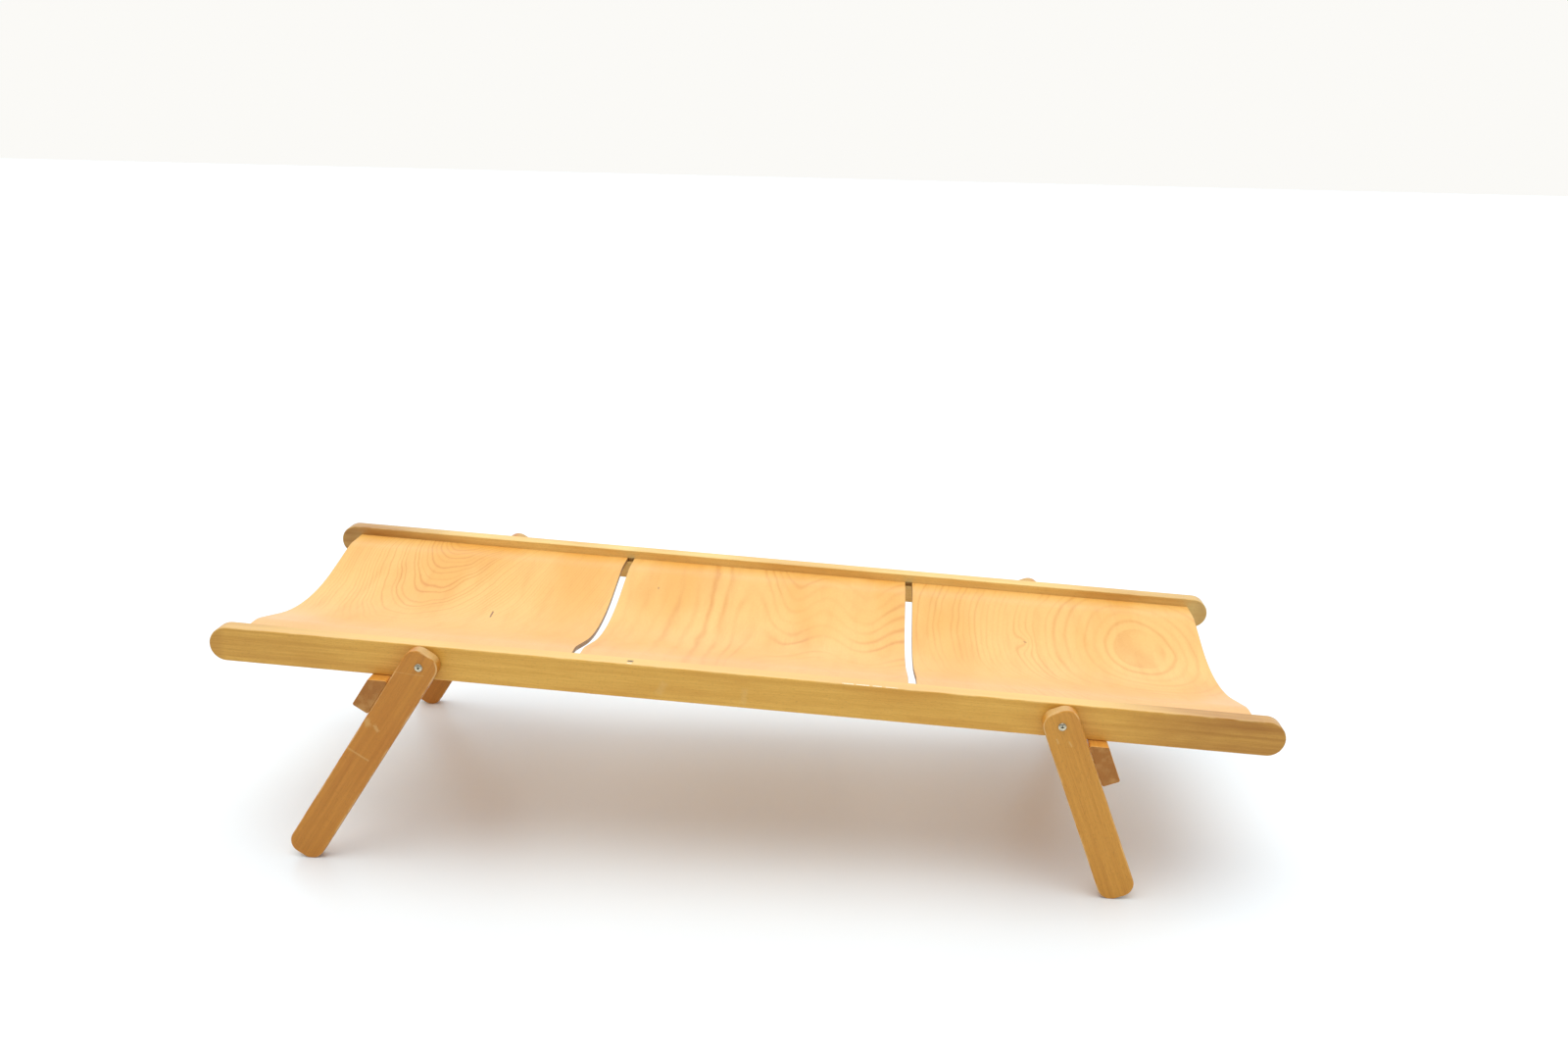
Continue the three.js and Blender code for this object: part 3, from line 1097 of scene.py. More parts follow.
def hand_over(
    piece: bpy.types.Object,
    node: str,
    body: str,
    slot: str,
    *materials: bpy.types.Material,
) -> None:
    """Dresses a finished piece and lets it stand for its CAD node.

    Args:
        piece: the piece, in place.
        node: the CAD node that it replaces.
        body: the body that it moves with.
        slot: not used.
        materials: the finishes of its faces.
    """
    for material in materials:
        piece.data.materials.append(material)
    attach(piece, body)
    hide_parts(node)
    log.info("%s stands for %s on %s, %d faces", piece.name, node, body, len(piece.data.polygons))


# Where things lie


class DeckFrame:
    """The tilted frame of the deck, worked out from the two leg joints, and the places that hang on it."""

    def __init__(self) -> None:
        """Reads the joints and works out the deck's axes."""
        self.pivots = {end: self._joint(f"{end.word}_leg_fold") for end in End}
        self.x = (self.pivots[End.FOOT] - self.pivots[End.HEAD]).normalized()
        self.y = Vector((0, 1, 0))
        self.z = self.x.cross(self.y)
        self.origin = (self.pivots[End.FOOT] + self.pivots[End.HEAD]) / 2

    @staticmethod
    def _joint(name: str) -> Vector:
        """The place of a joint, by its name."""
        return Vector(next(joint["pos_m"] for joint in frame["joints"] if joint["name"] == name))

    @staticmethod
    def middle(node: str) -> Vector:
        """The middle of a CAD node's box."""
        low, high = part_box(node)
        return (low + high) / 2

    def down(self, end: End) -> Vector:
        """The direction down the legs, from the row of screws that runs along each leg.

        Args:
            end: the end of the bed.

        Returns:
            The direction.
        """
        upper, lower = (self.middle(f"{end.word}_stretcher_screw_front_{row}") for row in ("upper", "lower"))
        step = lower - upper
        return Vector((step.x, 0, step.z)).normalized()

    def outboard(self, end: End) -> Vector:
        """The direction square to the legs that leads out of the bed at one end."""
        down = self.down(end)
        return Vector((-down.z, 0, down.x)) * end.value


# Sub-assemblies


@dataclass
class SideRails:
    """The two long rails, with the grooves that hold the panels.

    Attributes:
        deck: the deck's frame.
        finishes: the wood of each rail.
        height: how deep a rail is.
        thickness: how thick it is.
        easing: the radius of its arrises.
        groove_length: how long the stopped groove is.
        groove_height: how wide the groove is.
        groove_depth: how deep it is.
        groove_rise: how far its middle lies above the rail's.
        drilling: the radius of the hole for a pivot insert.
        drilling_depth: how deep that hole is.
    """

    deck: DeckFrame
    finishes: dict[Side, SolidBeech]
    height: float = 0.064
    thickness: float = 0.035
    easing: float = 0.0025
    groove_length: float = 1.8606
    groove_height: float = 0.0096
    groove_depth: float = 0.0101
    groove_rise: float = 0.010
    drilling: float = 0.0068
    drilling_depth: float = 0.0186

    def _length(self, node: str) -> float:
        """The rail's true length, from its level box and the deck's slope."""
        low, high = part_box(node)
        return (high.x - low.x - self.height) / self.deck.x.x + self.height

    def _rail(self, side: Side) -> bpy.types.Object:
        """Makes one rail, its outer face towards +z and its top towards +y.

        Args:
            side: the side of the bed.

        Returns:
            The rail.
        """
        node = f"side_rail_{side.word}"
        reach = self._length(node) / 2 - self.height / 2
        ends = [(-reach, 0.0), (reach, 0.0)]
        rail = rounded_board(f"{side.word}_rail", ends, self.height / 2, self.thickness, self.easing)
        outer = self.thickness / 2
        bottom = self.groove_depth - outer
        mouth = Vector((0, self.groove_rise, 0))
        holes = [slot_cutter(self.groove_length, self.groove_height, -outer - OVERCUT, bottom, mouth)]
        along = self.deck.x * -side.value
        for pivot in self.deck.pivots.values():
            place = Matrix.Translation(((pivot - self.deck.origin).dot(along), 0, 0))
            holes.append(drill(self.drilling, outer - self.drilling_depth, outer + OVERCUT, place))
        carve(rail, holes)
        smooth(rail)
        lay(rail, basis(along, self.deck.z, Vector((0, side.value, 0)), self.deck.middle(node)))
        return rail

    def build(self) -> None:
        """Makes both rails and dresses them."""
        for side, finish in self.finishes.items():
            hand_over(self._rail(side), f"side_rail_{side.word}", "deck", "rail", finish.material())


@dataclass
class Panels:
    """The three dished panels.

    Attributes:
        deck: the deck's frame.
        finishes: the face veneer of each panel, by its place.
        edge: the cut edge.
        length: how long a panel is, along the bed.
        span: its width across the bed, in the grooves.
        thickness: how thick the ply is.
        dish: how deep the panel is dished.
        flank: the slope of its straight flanks.
        belly: the radius of its belly.
        rim: the radius of the bend by the rail.
        easing: the radius of its cut arrises.
        bend_steps: how many straight steps make the bend by the rail.
        belly_steps: how many make half the belly.
    """

    deck: DeckFrame
    finishes: dict[str, Veneer]
    edge: PlyEdge
    length: float = 0.610
    span: float = 0.693
    thickness: float = 0.009
    dish: float = 0.044
    flank: float = math.radians(13.5)
    belly: float = 0.650
    rim: float = 0.150
    easing: float = 0.0007
    bend_steps: int = 10
    belly_steps: int = 16

    def _profile(self) -> list[tuple[Vector, Vector]]:
        """The panel's upper surface from the front groove to the back one.

        Returns:
            For each place along it the point (across the bed, up from the rim) and the upward normal.
        """
        sin, cos = math.sin(self.flank), math.cos(self.flank)
        drop = self.dish - (self.belly + self.rim) * (1 - cos)
        rim_y = (self.belly + self.rim) * sin + drop / math.tan(self.flank)
        half: list[tuple[Vector, Vector]] = [(Vector((self.span / 2, 0)), Vector((0, 1)))]
        for k in range(self.bend_steps + 1):
            angle = self.flank * k / self.bend_steps
            normal = Vector((-math.sin(angle), math.cos(angle)))
            half.append((Vector((rim_y, -self.rim)) + normal * self.rim, normal))
        for k in range(self.belly_steps):
            angle = self.flank * (1 - k / self.belly_steps)
            normal = Vector((-math.sin(angle), math.cos(angle)))
            half.append((Vector((0, self.belly - self.dish)) - normal * self.belly, normal))
        lowest = (Vector((0, -self.dish)), Vector((0, 1)))
        mirrored = [(Vector((-p.x, p.y)), Vector((-n.x, n.y))) for p, n in half]
        return mirrored + [lowest] + half[::-1]

    def _section(self) -> list[Point]:
        """The panel's section along the bed.

        Returns:
            The points of its outline: along the bed from the middle, and up from the upper face.
        """
        half = self.length / 2
        corners = [(-half, -self.thickness), (half, -self.thickness), (half, 0.0), (-half, 0.0)]
        return rounded_hull(inset_corners(corners, self.easing), self.easing, 4)

    def _panel(self, place: str) -> bpy.types.Object:
        """Makes one panel, its grain along x, its head edge towards +y and its upper face up.

        Args:
            place: head, middle or foot.

        Returns:
            The panel.
        """
        section = self._section()
        rings = []
        for point, normal in self._profile():
            ring = []
            for aside, lift in section:
                spot = point + normal * lift
                ring.append(Vector((spot.x, -aside, spot.y)))
            rings.append(ring)
        depths = [[-lift for _, lift in section]] * len(rings)
        panel = loft(f"{place}_panel", rings, "depth", depths)
        cut_faces = self.length / 2 - self.easing * 0.5
        for face in panel.data.polygons:
            face.material_index = int(abs(face.center.y) > cut_faces or abs(face.normal.x) > 0.9)
        smooth(panel, PLY_SHARP)
        seat = self.deck.middle(f"panel_{place}")
        lift = (self.dish + self.thickness) / 2
        lay(panel, basis(self.deck.y, -self.deck.x, self.deck.z, seat + self.deck.z * lift))
        return panel

    def build(self) -> None:
        """Makes the panels and dresses them."""
        edge = self.edge.material()
        for place, finish in self.finishes.items():
            hand_over(self._panel(place), f"panel_{place}", "deck", "panel", finish.material(), edge)


@dataclass
class LegPair:
    """Two legs and the stretcher that joins them and bears on the rails.

    Attributes:
        deck: the deck's frame.
        end: the end of the bed.
        leg_finishes: the wood of each leg.
        stretcher_finish: the wood of the stretcher.
        width: how wide a leg is.
        thickness: how thick it is.
        above: how far it runs past its pivot.
        corner: the radius of its corners.
        easing: the radius of its arrises.
        flat: how much of the rounded foot is worn flat where it stands.
        hole: the radius of the pivot hole.
        screw_rows: how far down the leg the two screws lie.
        screw_hole: the radius of a screw's hole.
        screw_head: the radius of its countersink.
        screw_sink: the heights between which the countersink narrows, under the stretcher's face.
        screw_point: the heights between which the hole narrows to its end.
        bar: the stretcher's thickness.
        bar_bottom: how far down the leg the stretcher reaches.
        bar_half: half the stretcher's length.
        bar_corner: the radius of its long corners.
        bar_easing: the radius of its end arrises.
        bearing: how far under the pivots the rails' underside lies, with its clearance.
        hollow: how far the hollow in the upper edge is cut below the rails' underside.
        hollow_radius: the radius of that hollow.
        hollow_steps: how many straight steps make half of it.
        pivot: where the pair turns.
        down: the direction down its legs.
        out: the direction square to them that leads out of the bed.
    """

    deck: DeckFrame
    end: End
    leg_finishes: dict[Side, SolidBeech]
    stretcher_finish: SolidBeech
    width: float = 0.066
    thickness: float = 0.027
    above: float = 0.028
    corner: float = 0.025
    easing: float = 0.003
    flat: float = 0.0008
    hole: float = 0.0043
    screw_rows: Point = (0.088, 0.119)
    screw_hole: float = 0.0030
    screw_head: float = 0.0057
    screw_sink: Point = (-0.0004, -0.0034)
    screw_point: Point = (-0.048, -0.0563)
    bar: float = 0.033
    bar_bottom: float = 0.133
    bar_half: float = 0.3991
    bar_corner: float = 0.0035
    bar_easing: float = 0.0012
    bearing: float = 0.0323
    hollow: float = 0.010
    hollow_radius: float = 1.060
    hollow_steps: int = 12
    pivot: Vector = field(init=False)
    down: Vector = field(init=False)
    out: Vector = field(init=False)

    def __post_init__(self) -> None:
        """Reads the pair's own axes from the frame."""
        self.pivot = self.deck.pivots[self.end]
        self.down = self.deck.down(self.end)
        self.out = self.deck.outboard(self.end)

    @property
    def body(self) -> str:
        """The body that the pair moves with."""
        return f"{self.end.word}_leg_frame"

    def screw_spots(self) -> dict[tuple[Side, str], Vector]:
        """Where each screw's head lies, on the stretcher's outer face.

        Returns:
            The places, by the side of the bed and the row.
        """
        spots = {}
        for side in Side:
            across = self.deck.middle(f"{self.end.word}_leg_{side.word}").y
            for row, down in zip(("upper", "lower"), self.screw_rows):
                face = self.width / 2 + self.bar
                spots[side, row] = self.pivot + self.down * down + self.out * face + self.deck.y * across
        return spots

    def screw_place(self, spot: Vector) -> Matrix:
        """The placing of a screw at a spot: z out of the stretcher, y up the leg."""
        up = -self.down
        return basis(up.cross(self.out), up, self.out, spot)

    def _screw_cutters(self, spots: Iterable[Vector], to_piece: Matrix) -> list[bpy.types.Object]:
        """Cutters for the screws' holes and countersinks.

        Args:
            spots: where the screws' heads lie.
            to_piece: from the row's frame to the piece's.

        Returns:
            The cutters, in the piece's frame.
        """
        rim, sink = self.screw_sink
        taper, point = self.screw_point
        profile = [(self.screw_hole / 3, point), (self.screw_hole, taper), (self.screw_hole, sink)]
        profile += [(self.screw_head, rim), (self.screw_head, OVERCUT)]
        cutters = []
        for spot in spots:
            cutter = turned("countersink", profile, SINK_STEPS)
            cutter.matrix_world = to_piece @ self.screw_place(spot)
            cutters.append(cutter)
        return cutters

    def _leg(self, side: Side) -> bpy.types.Object:
        """Makes one leg, x down it and its outer face towards +z.

        Args:
            side: the side of the bed.

        Returns:
            The leg.
        """
        cos, sin = -self.down.z, abs(self.down.x)
        half = self.width / 2 - self.corner
        foot = (self.pivot.z - (self.corner - self.flat) - half * sin) / cos
        top = self.corner - self.above
        centres = [(top, -half), (foot, -half), (foot, half), (top, half)]
        name = f"{self.end.word}_{side.word}_leg"
        leg = rounded_board(name, centres, self.corner, self.thickness, self.easing)
        across = self.deck.middle(f"{self.end.word}_leg_{side.word}").y
        outer = Vector((0, side.value, 0))
        place = basis(self.down, outer.cross(self.down), outer, self.pivot + self.deck.y * across)
        back = place.inverted()
        for vert in leg.data.vertices:
            spot = place @ vert.co
            if spot.z < 0:
                spot.z = 0
                vert.co = back @ spot
        bolt_hole = drill(self.hole, -self.thickness, self.thickness, Matrix.Identity(4))
        spots = [spot for (where, _), spot in self.screw_spots().items() if where is side]
        carve(leg, [bolt_hole, *self._screw_cutters(spots, back)])
        smooth(leg)
        lay(leg, place)
        return leg

    def _stretcher(self) -> bpy.types.Object:
        """Makes the stretcher: x along it, y up the legs and z out of the bed.

        Returns:
            The stretcher.
        """
        up = -self.down
        cos = up.dot(self.deck.z)
        sin = math.sqrt(1 - cos * cos)
        inner = self.width / 2 + GAP
        outer = inner + self.bar
        hollow_end = math.sqrt(2 * self.hollow_radius * (self.hollow - GAP))
        spread = range(-self.hollow_steps, self.hollow_steps + 1)
        stations = eased_stations(self.bar_half, self.bar_easing, 4)
        middle = len(stations) // 2
        stations[middle:middle] = [(hollow_end * k / self.hollow_steps, 0.0, 0.0) for k in spread]
        rings = []
        values = []
        for x, drawn_in, bare in stations:
            sagitta = self.hollow_radius - math.sqrt(self.hollow_radius ** 2 - min(abs(x), hollow_end) ** 2)
            under = max(self.bearing, self.bearing - GAP + self.hollow - sagitta)
            corners = [
                (inner, -(under + inner * sin) / cos),
                (inner, -self.bar_bottom),
                (outer, -self.bar_bottom),
                (outer, -(under + outer * sin) / cos),
            ]
            centres = inset_corners(corners, self.bar_corner)
            outline = rounded_hull(centres, self.bar_corner - drawn_in, CORNER_STEPS)
            rings.append([Vector((x, lift, away)) for away, lift in outline])
            round_corner = [math.sin(TAU / 2 * k / CORNER_STEPS) for k in range(CORNER_STEPS + 1)]
            values.append([max(bare, exposed) for exposed in round_corner * len(corners)])
        bar = loft(f"{self.end.word}_crossbar", rings, values=values)
        place = basis(up.cross(self.out), up, self.out, self.pivot)
        carve(bar, self._screw_cutters(self.screw_spots().values(), place.inverted()))
        smooth(bar)
        lay(bar, place)
        return bar

    def build(self) -> None:
        """Makes the legs and the stretcher and dresses them."""
        for side, finish in self.leg_finishes.items():
            node = f"{self.end.word}_leg_{side.word}"
            hand_over(self._leg(side), node, self.body, "leg", finish.material())
        node = f"{self.end.word}_stretcher"
        hand_over(self._stretcher(), node, self.body, "stretcher", self.stretcher_finish.material())


@dataclass
class Fasteners:
    """The pivot bolts, washers and inserts, and the stretchers' screws.

    Attributes:
        deck: the deck's frame.
        legs: the two leg pairs.
        metals: the metal of each kind of fastener.
        head: the radius of a bolt's head.
        head_height: how tall that head is.
        head_rim: the height of its straight rim.
        head_edge: the bevel under that rim.
        dome_steps: how many straight steps make the head's dome.
        crown: the radius of the flat on top of it.
        shank: the radius of a bolt's shank.
        shank_end: the radius that the shank has at its very end.
        shank_length: how long that shank is.
        plain_shank: how much of it is plain, under the head.
        bolt_thread: the thread on the rest of it.
        bolt_recess: the reach and half the width of the recess's arms, as shares of the head's radius.
        washer: the inner and outer radius of a washer.
        washer_height: how thick a washer is.
        washer_easing: the radius of its arrises.
        insert: the inner and outer radius of an insert.
        insert_length: how long an insert is.
        grooves: how many grooves are rolled into it.
        groove_depth: how deep they are.
        insert_lip: how far its outer end is drawn in.
        screw_core: the radius of a screw's plain neck.
        screw_length: how long a screw is.
        screw_tip: the radius of its tip.
        screw_neck: how far that neck reaches.
        screw_thread: the thread below it.
        screw_head: the radius of a screw's head.
        screw_sink: the heights between which the head narrows to the neck.
        screw_edge: the bevel round its face.
        screw_recess: the reach and half the width of the recess's arms, as shares of the head's radius.
        recess_depth: how deep the recesses go.
        bolt_turns: degrees that the first pivot's fittings are turned, and how many more the next one's.
        screw_turns: the same for the screws of a leg pair.
    """

    deck: DeckFrame
    legs: Sequence[LegPair]
    metals: dict[str, Metal]
    head: float = 0.0075
    head_height: float = 0.0032
    head_rim: float = 0.0010
    head_edge: float = 0.0002
    dome_steps: int = 12
    crown: float = 0.0004
    shank: float = 0.004
    shank_end: float = 0.0028
    shank_length: float = 0.045
    plain_shank: float = 0.0115
    bolt_thread: Thread = Thread(0.004, depth=0.0005, pitch=0.00125, start=-0.044, stop=-0.012, taper=0.08)
    bolt_recess: Point = (0.42, 0.13)
    washer: Point = (0.0043, 0.011)
    washer_height: float = 0.0015
    washer_easing: float = 0.0003
    insert: Point = (0.0043, 0.0065)
    insert_length: float = 0.018
    grooves: int = 9
    groove_depth: float = 0.0005
    insert_lip: float = 0.0003
    screw_core: float = 0.002106
    screw_length: float = 0.056
    screw_tip: float = 0.0003
    screw_neck: float = 0.0195
    screw_thread: Thread = Thread(0.0027, depth=0.0007, pitch=0.0026, start=-0.0545, stop=-0.02, taper=0.75)
    screw_head: float = 0.0054
    screw_sink: Point = (-0.0004, -0.0034)
    screw_edge: float = 0.0001
    screw_recess: Point = (0.46, 0.15)
    recess_depth: float = 0.0021
    bolt_turns: Point = (23.0, 37.0)
    screw_turns: Point = (11.0, 29.0)

    def _bolt(self, name: str) -> bpy.types.Object:
        """A domed bolt with a cross recess, the underside of its head at z = 0.

        Args:
            name: the piece's name.

        Returns:
            The bolt.
        """
        steps = 48
        dome = self.head_height - self.head_rim
        outline = [(self.shank, -self.plain_shank), (self.shank, 0.0)]
        outline += [(self.head - self.head_edge, 0.0), (self.head, self.head_edge)]
        for k in range(self.dome_steps):
            angle = TAU / 4 * k / self.dome_steps
            outline.append((self.head * math.cos(angle), self.head_rim + dome * math.sin(angle)))
        outline.append((self.crown, self.head_height))
        rings = [circle(self.shank_end, -self.shank_length, steps)]
        rings += self.bolt_thread.rings(steps)
        rings += [circle(out, height, steps) for out, height in outline]
        bolt = loft(name, rings)
        arm, width = (share * self.head for share in self.bolt_recess)
        carve(bolt, [cross_cutter(arm, width, self.head_height + self.head_edge, self.recess_depth)])
        return bolt

    def _screw(self, name: str) -> bpy.types.Object:
        """A countersunk wood screw with a cross recess, the face of its head at z = 0.

        Args:
            name: the piece's name.

        Returns:
            The screw.
        """
        steps = 36
        rim, sink = self.screw_sink
        outline = [(self.screw_core, -self.screw_neck), (self.screw_core, sink), (self.screw_head, rim)]
        outline += [(self.screw_head, -self.screw_edge), (self.screw_head - self.screw_edge, 0.0)]
        rings = [circle(self.screw_tip, -self.screw_length, steps)]
        rings += self.screw_thread.rings(steps)
        rings += [circle(out, height, steps) for out, height in outline]
        screw = loft(name, rings)
        arm, width = (share * self.screw_head for share in self.screw_recess)
        carve(screw, [cross_cutter(arm, width, 2 * self.screw_edge, self.recess_depth)])
        return screw

    def _washer(self, name: str) -> bpy.types.Object:
        """A flat washer from z = 0 up, with eased arrises.

        Args:
            name: the piece's name.

        Returns:
            The washer.
        """
        inner, outer = self.washer
        corners = [(inner, 0.0), (outer, 0.0), (outer, self.washer_height), (inner, self.washer_height)]
        middles = inset_corners(corners, self.washer_easing)
        return sleeve(name, rounded_hull(middles, self.washer_easing, 3), 64)

    def _insert(self, name: str) -> bpy.types.Object:
        """A brass sleeve with rolled grooves that bite into the rail, from z = 0 up.

        Args:
            name: the piece's name.

        Returns:
            The insert.
        """
        inner, outer = self.insert
        step = self.insert_length / self.grooves
        section = [(inner, 0.0)]
        for k in range(self.grooves):
            section.append((outer - self.groove_depth, step * (k + 0.1)))
            section += [(outer, step * (k + 0.45)), (outer, step * (k + 0.75))]
        section += [(outer - self.insert_lip, self.insert_length), (inner, self.insert_length)]
        return sleeve(name, section, 48)

    def _place(self, node: str, end: End, side: Side, turn: float) -> Matrix:
        """A fitting's placing on its pivot.

        Args:
            node: the CAD node that gives its reach along Y.
            end: the end of the bed.
            side: the side of the bed, which z points out of.
            turn: degrees that it is turned about its axis.

        Returns:
            The placing, its origin at the node's outermost point.
        """
        low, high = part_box(node)
        reach = low.y if side is Side.FRONT else high.y
        origin = self.deck.pivots[end] + Vector((0, reach, 0))
        outer = Vector((0, side.value, 0))
        place = basis(self.deck.z.cross(outer), self.deck.z, outer, origin)
        return place @ Matrix.Rotation(math.radians(turn), 4, "Z")

    def _build_pivots(self, materials: dict[str, bpy.types.Material]) -> None:
        """Makes the bolt, washer and insert of each pivot and dresses them.

        Args:
            materials: the finish of each kind of fastener.
        """
        first, more = self.bolt_turns
        for index, (end, side) in enumerate((end, side) for end in End for side in Side):
            stem = f"{end.word}_{side.word}"
            fittings = {
                "bolt": (self._bolt(f"{stem}_bolt"), self.head_height),
                "washer": (self._washer(f"{stem}_washer"), self.washer_height),
                "insert": (self._insert(f"{stem}_insert"), self.insert_length),
            }
            for kind, (piece, rise) in fittings.items():
                node = f"{end.word}_pivot_{kind}_{side.word}"
                smooth(piece)
                place = self._place(node, end, side, first + more * index)
                lay(piece, place @ Matrix.Translation((0, 0, -rise)))
                hand_over(piece, node, "deck", kind, materials[kind])

    def _build_screws(self, pair: LegPair, material: bpy.types.Material) -> None:
        """Makes the screws of one leg pair and dresses them.

        Args:
            pair: the leg pair.
            material: the screws' finish.
        """
        first, more = self.screw_turns
        for index, ((side, row), spot) in enumerate(pair.screw_spots().items()):
            screw = self._screw(f"{pair.end.word}_{side.word}_screw_{row}")
            smooth(screw)
            turn = Matrix.Rotation(math.radians(first + more * index), 4, "Z")
            lay(screw, pair.screw_place(spot) @ turn)
            node = f"{pair.end.word}_stretcher_screw_{side.word}_{row}"
            hand_over(screw, node, pair.body, "screw", material)

    def build(self) -> None:
        """Makes every fastener and dresses it."""
        materials = {kind: metal.material() for kind, metal in self.metals.items()}
        self._build_pivots(materials)
        for pair in self.legs:
            self._build_screws(pair, materials["screw"])


# Studio


@dataclass
class Studio:
    """A white floor, soft light from above and the view of the bed.

    Attributes:
        eye: where the camera stands.
        yaw: radians that it looks to the left of +Y.
        pitch: radians that it looks down.
        roll: radians that it leans.
        lens: its focal length, in millimetres.
        sensor: how wide its sensor is, in millimetres.
        sky: how bright the room is on average.
        swing: how much brighter its bright side is than that.
        bright_side: where the bright side lies: overhead, and a little behind the bed.
        tint: the colour of the room's light.
        key: how strong the softbox overhead is.
        key_spread: how wide that softbox looks from the bed, in degrees.
        key_lean: degrees that its light leans about X and about Y.
        key_colour: the colour of its light.
        backdrop: the colour of the room behind the bed.
        floor_reach: how far the floor runs each way.
    """

    eye: Triple = (0.2339, -2.9499, 1.3700)
    yaw: float = -0.0616
    pitch: float = 0.2628
    roll: float = 0.0217
    lens: float = 35.23
    sensor: float = 36.0
    sky: float = 0.545
    swing: float = 0.84
    bright_side: Triple = (0.0, 0.40, 0.92)
    tint: Colour = (0.88, 0.945, 1.0)
    key: float = 1.20
    key_spread: float = 60.0
    key_lean: Point = (5.0, -6.0)
    key_colour: Colour = (1.0, 0.96, 0.88)
    backdrop: Colour = (0.965, 0.955, 0.925)
    floor_reach: float = 30.0

    def _camera(self) -> None:
        """Stands the camera at its place and hands it to the scene."""
        forward = Vector((
            math.sin(self.yaw) * math.cos(self.pitch),
            math.cos(self.yaw) * math.cos(self.pitch),
            -math.sin(self.pitch),
        ))
        level = Vector((math.cos(self.yaw), -math.sin(self.yaw), 0))
        upright = level.cross(forward)
        right = level * math.cos(self.roll) + upright * math.sin(self.roll)
        up = upright * math.cos(self.roll) - level * math.sin(self.roll)
        data = bpy.data.cameras.new("camera")
        data.lens = self.lens
        data.sensor_width = self.sensor
        camera = bpy.data.objects.new("camera", data)
        camera.matrix_world = basis(right, up, -forward, Vector(self.eye))
        bpy.context.scene.collection.objects.link(camera)
        bpy.context.scene.camera = camera

    def _room(self) -> None:
        """Lights the room, brighter above and behind the bed, and lets the camera see a plain backdrop."""
        world = bpy.data.worlds.new("room")
        bench = Bench(world)
        ray = bench.put("ShaderNodeTexCoord", out="Generated")
        settings = {"operation": "DOT_PRODUCT"}
        towards = bench.put("ShaderNodeVectorMath", settings, {0: ray, 1: self.bright_side}, out="Value")
        strength = towards * self.swing + self.sky
        light = bench.put("ShaderNodeBackground", sockets={"Color": self.tint, "Strength": strength})
        seen = bench.put("ShaderNodeBackground", sockets={"Color": self.backdrop, "Strength": 1.0})
        looked_at = bench.put("ShaderNodeLightPath", out="Is Camera Ray")
        mixed = bench.put("ShaderNodeMixShader", sockets={0: looked_at, 1: light, 2: seen})
        bench.put("ShaderNodeOutputWorld", sockets={0: mixed}, out=None)
        bpy.context.scene.world = world

    def _key_light(self) -> None:
        """Hangs the wide softbox overhead."""
        sun = bpy.data.lights.new("key", "SUN")
        sun.energy = self.key
        sun.angle = math.radians(self.key_spread)
        sun.color = self.key_colour
        lamp = bpy.data.objects.new("key", sun)
        lamp.rotation_euler = (*map(math.radians, self.key_lean), 0)
        bpy.context.scene.collection.objects.link(lamp)

    def _floor(self) -> None:
        """Lays the floor under the bed."""
        level = CAD_BOX[0][2]
        reach = self.floor_reach
        corners = [(-reach, -reach), (reach, -reach), (reach, reach), (-reach, reach)]
        mesh = bpy.data.meshes.new("floor")
        mesh.from_pydata([(*corner, level) for corner in corners], [], [(0, 1, 2, 3)])
        floor = bpy.data.objects.new("floor", mesh)
        lay(floor, Matrix.Identity(4))
        floor.data.materials.append(StudioFloor().material())
        bpy.context.scene.collection.objects.link(floor)

    def build(self) -> None:
        """Sets up the studio."""
        self._camera()
        self._room()
        self._key_light()
        self._floor()
        bpy.context.scene.view_settings.view_transform = "Standard"


# The bed's woods and metals, with the back rail's woods painted paler for the light on it


RAIL_WOODS_AND_LIT_BACK: dict[Side, tuple[Colour, Colour]] = {
    Side.FRONT: ((0.84, 0.468, 0.086), (0.59, 0.260, 0.022)),
    # The back rail is painted paler: a lit copy of the same beech, standing in for the light on its inner
    # face.
    Side.BACK: ((0.92, 0.64, 0.22), (0.78, 0.47, 0.115)),
}
LEG_WOODS: dict[End, tuple[Colour, Colour]] = {
    End.HEAD: ((0.64, 0.26, 0.028), (0.44, 0.145, 0.010)),
    End.FOOT: ((0.72, 0.33, 0.045), (0.52, 0.20, 0.016)),
}
LEG_RIPE: Colour = (0.50, 0.150, 0.009)
SCUFF: Colour = (0.80, 0.52, 0.18)
BARE: Colour = (0.95, 0.88, 0.70)
DARK: Colour = (0.10, 0.05, 0.025)
CRACK: Colour = (0.26, 0.09, 0.025)
KNOT: Colour = (0.45, 0.18, 0.06)

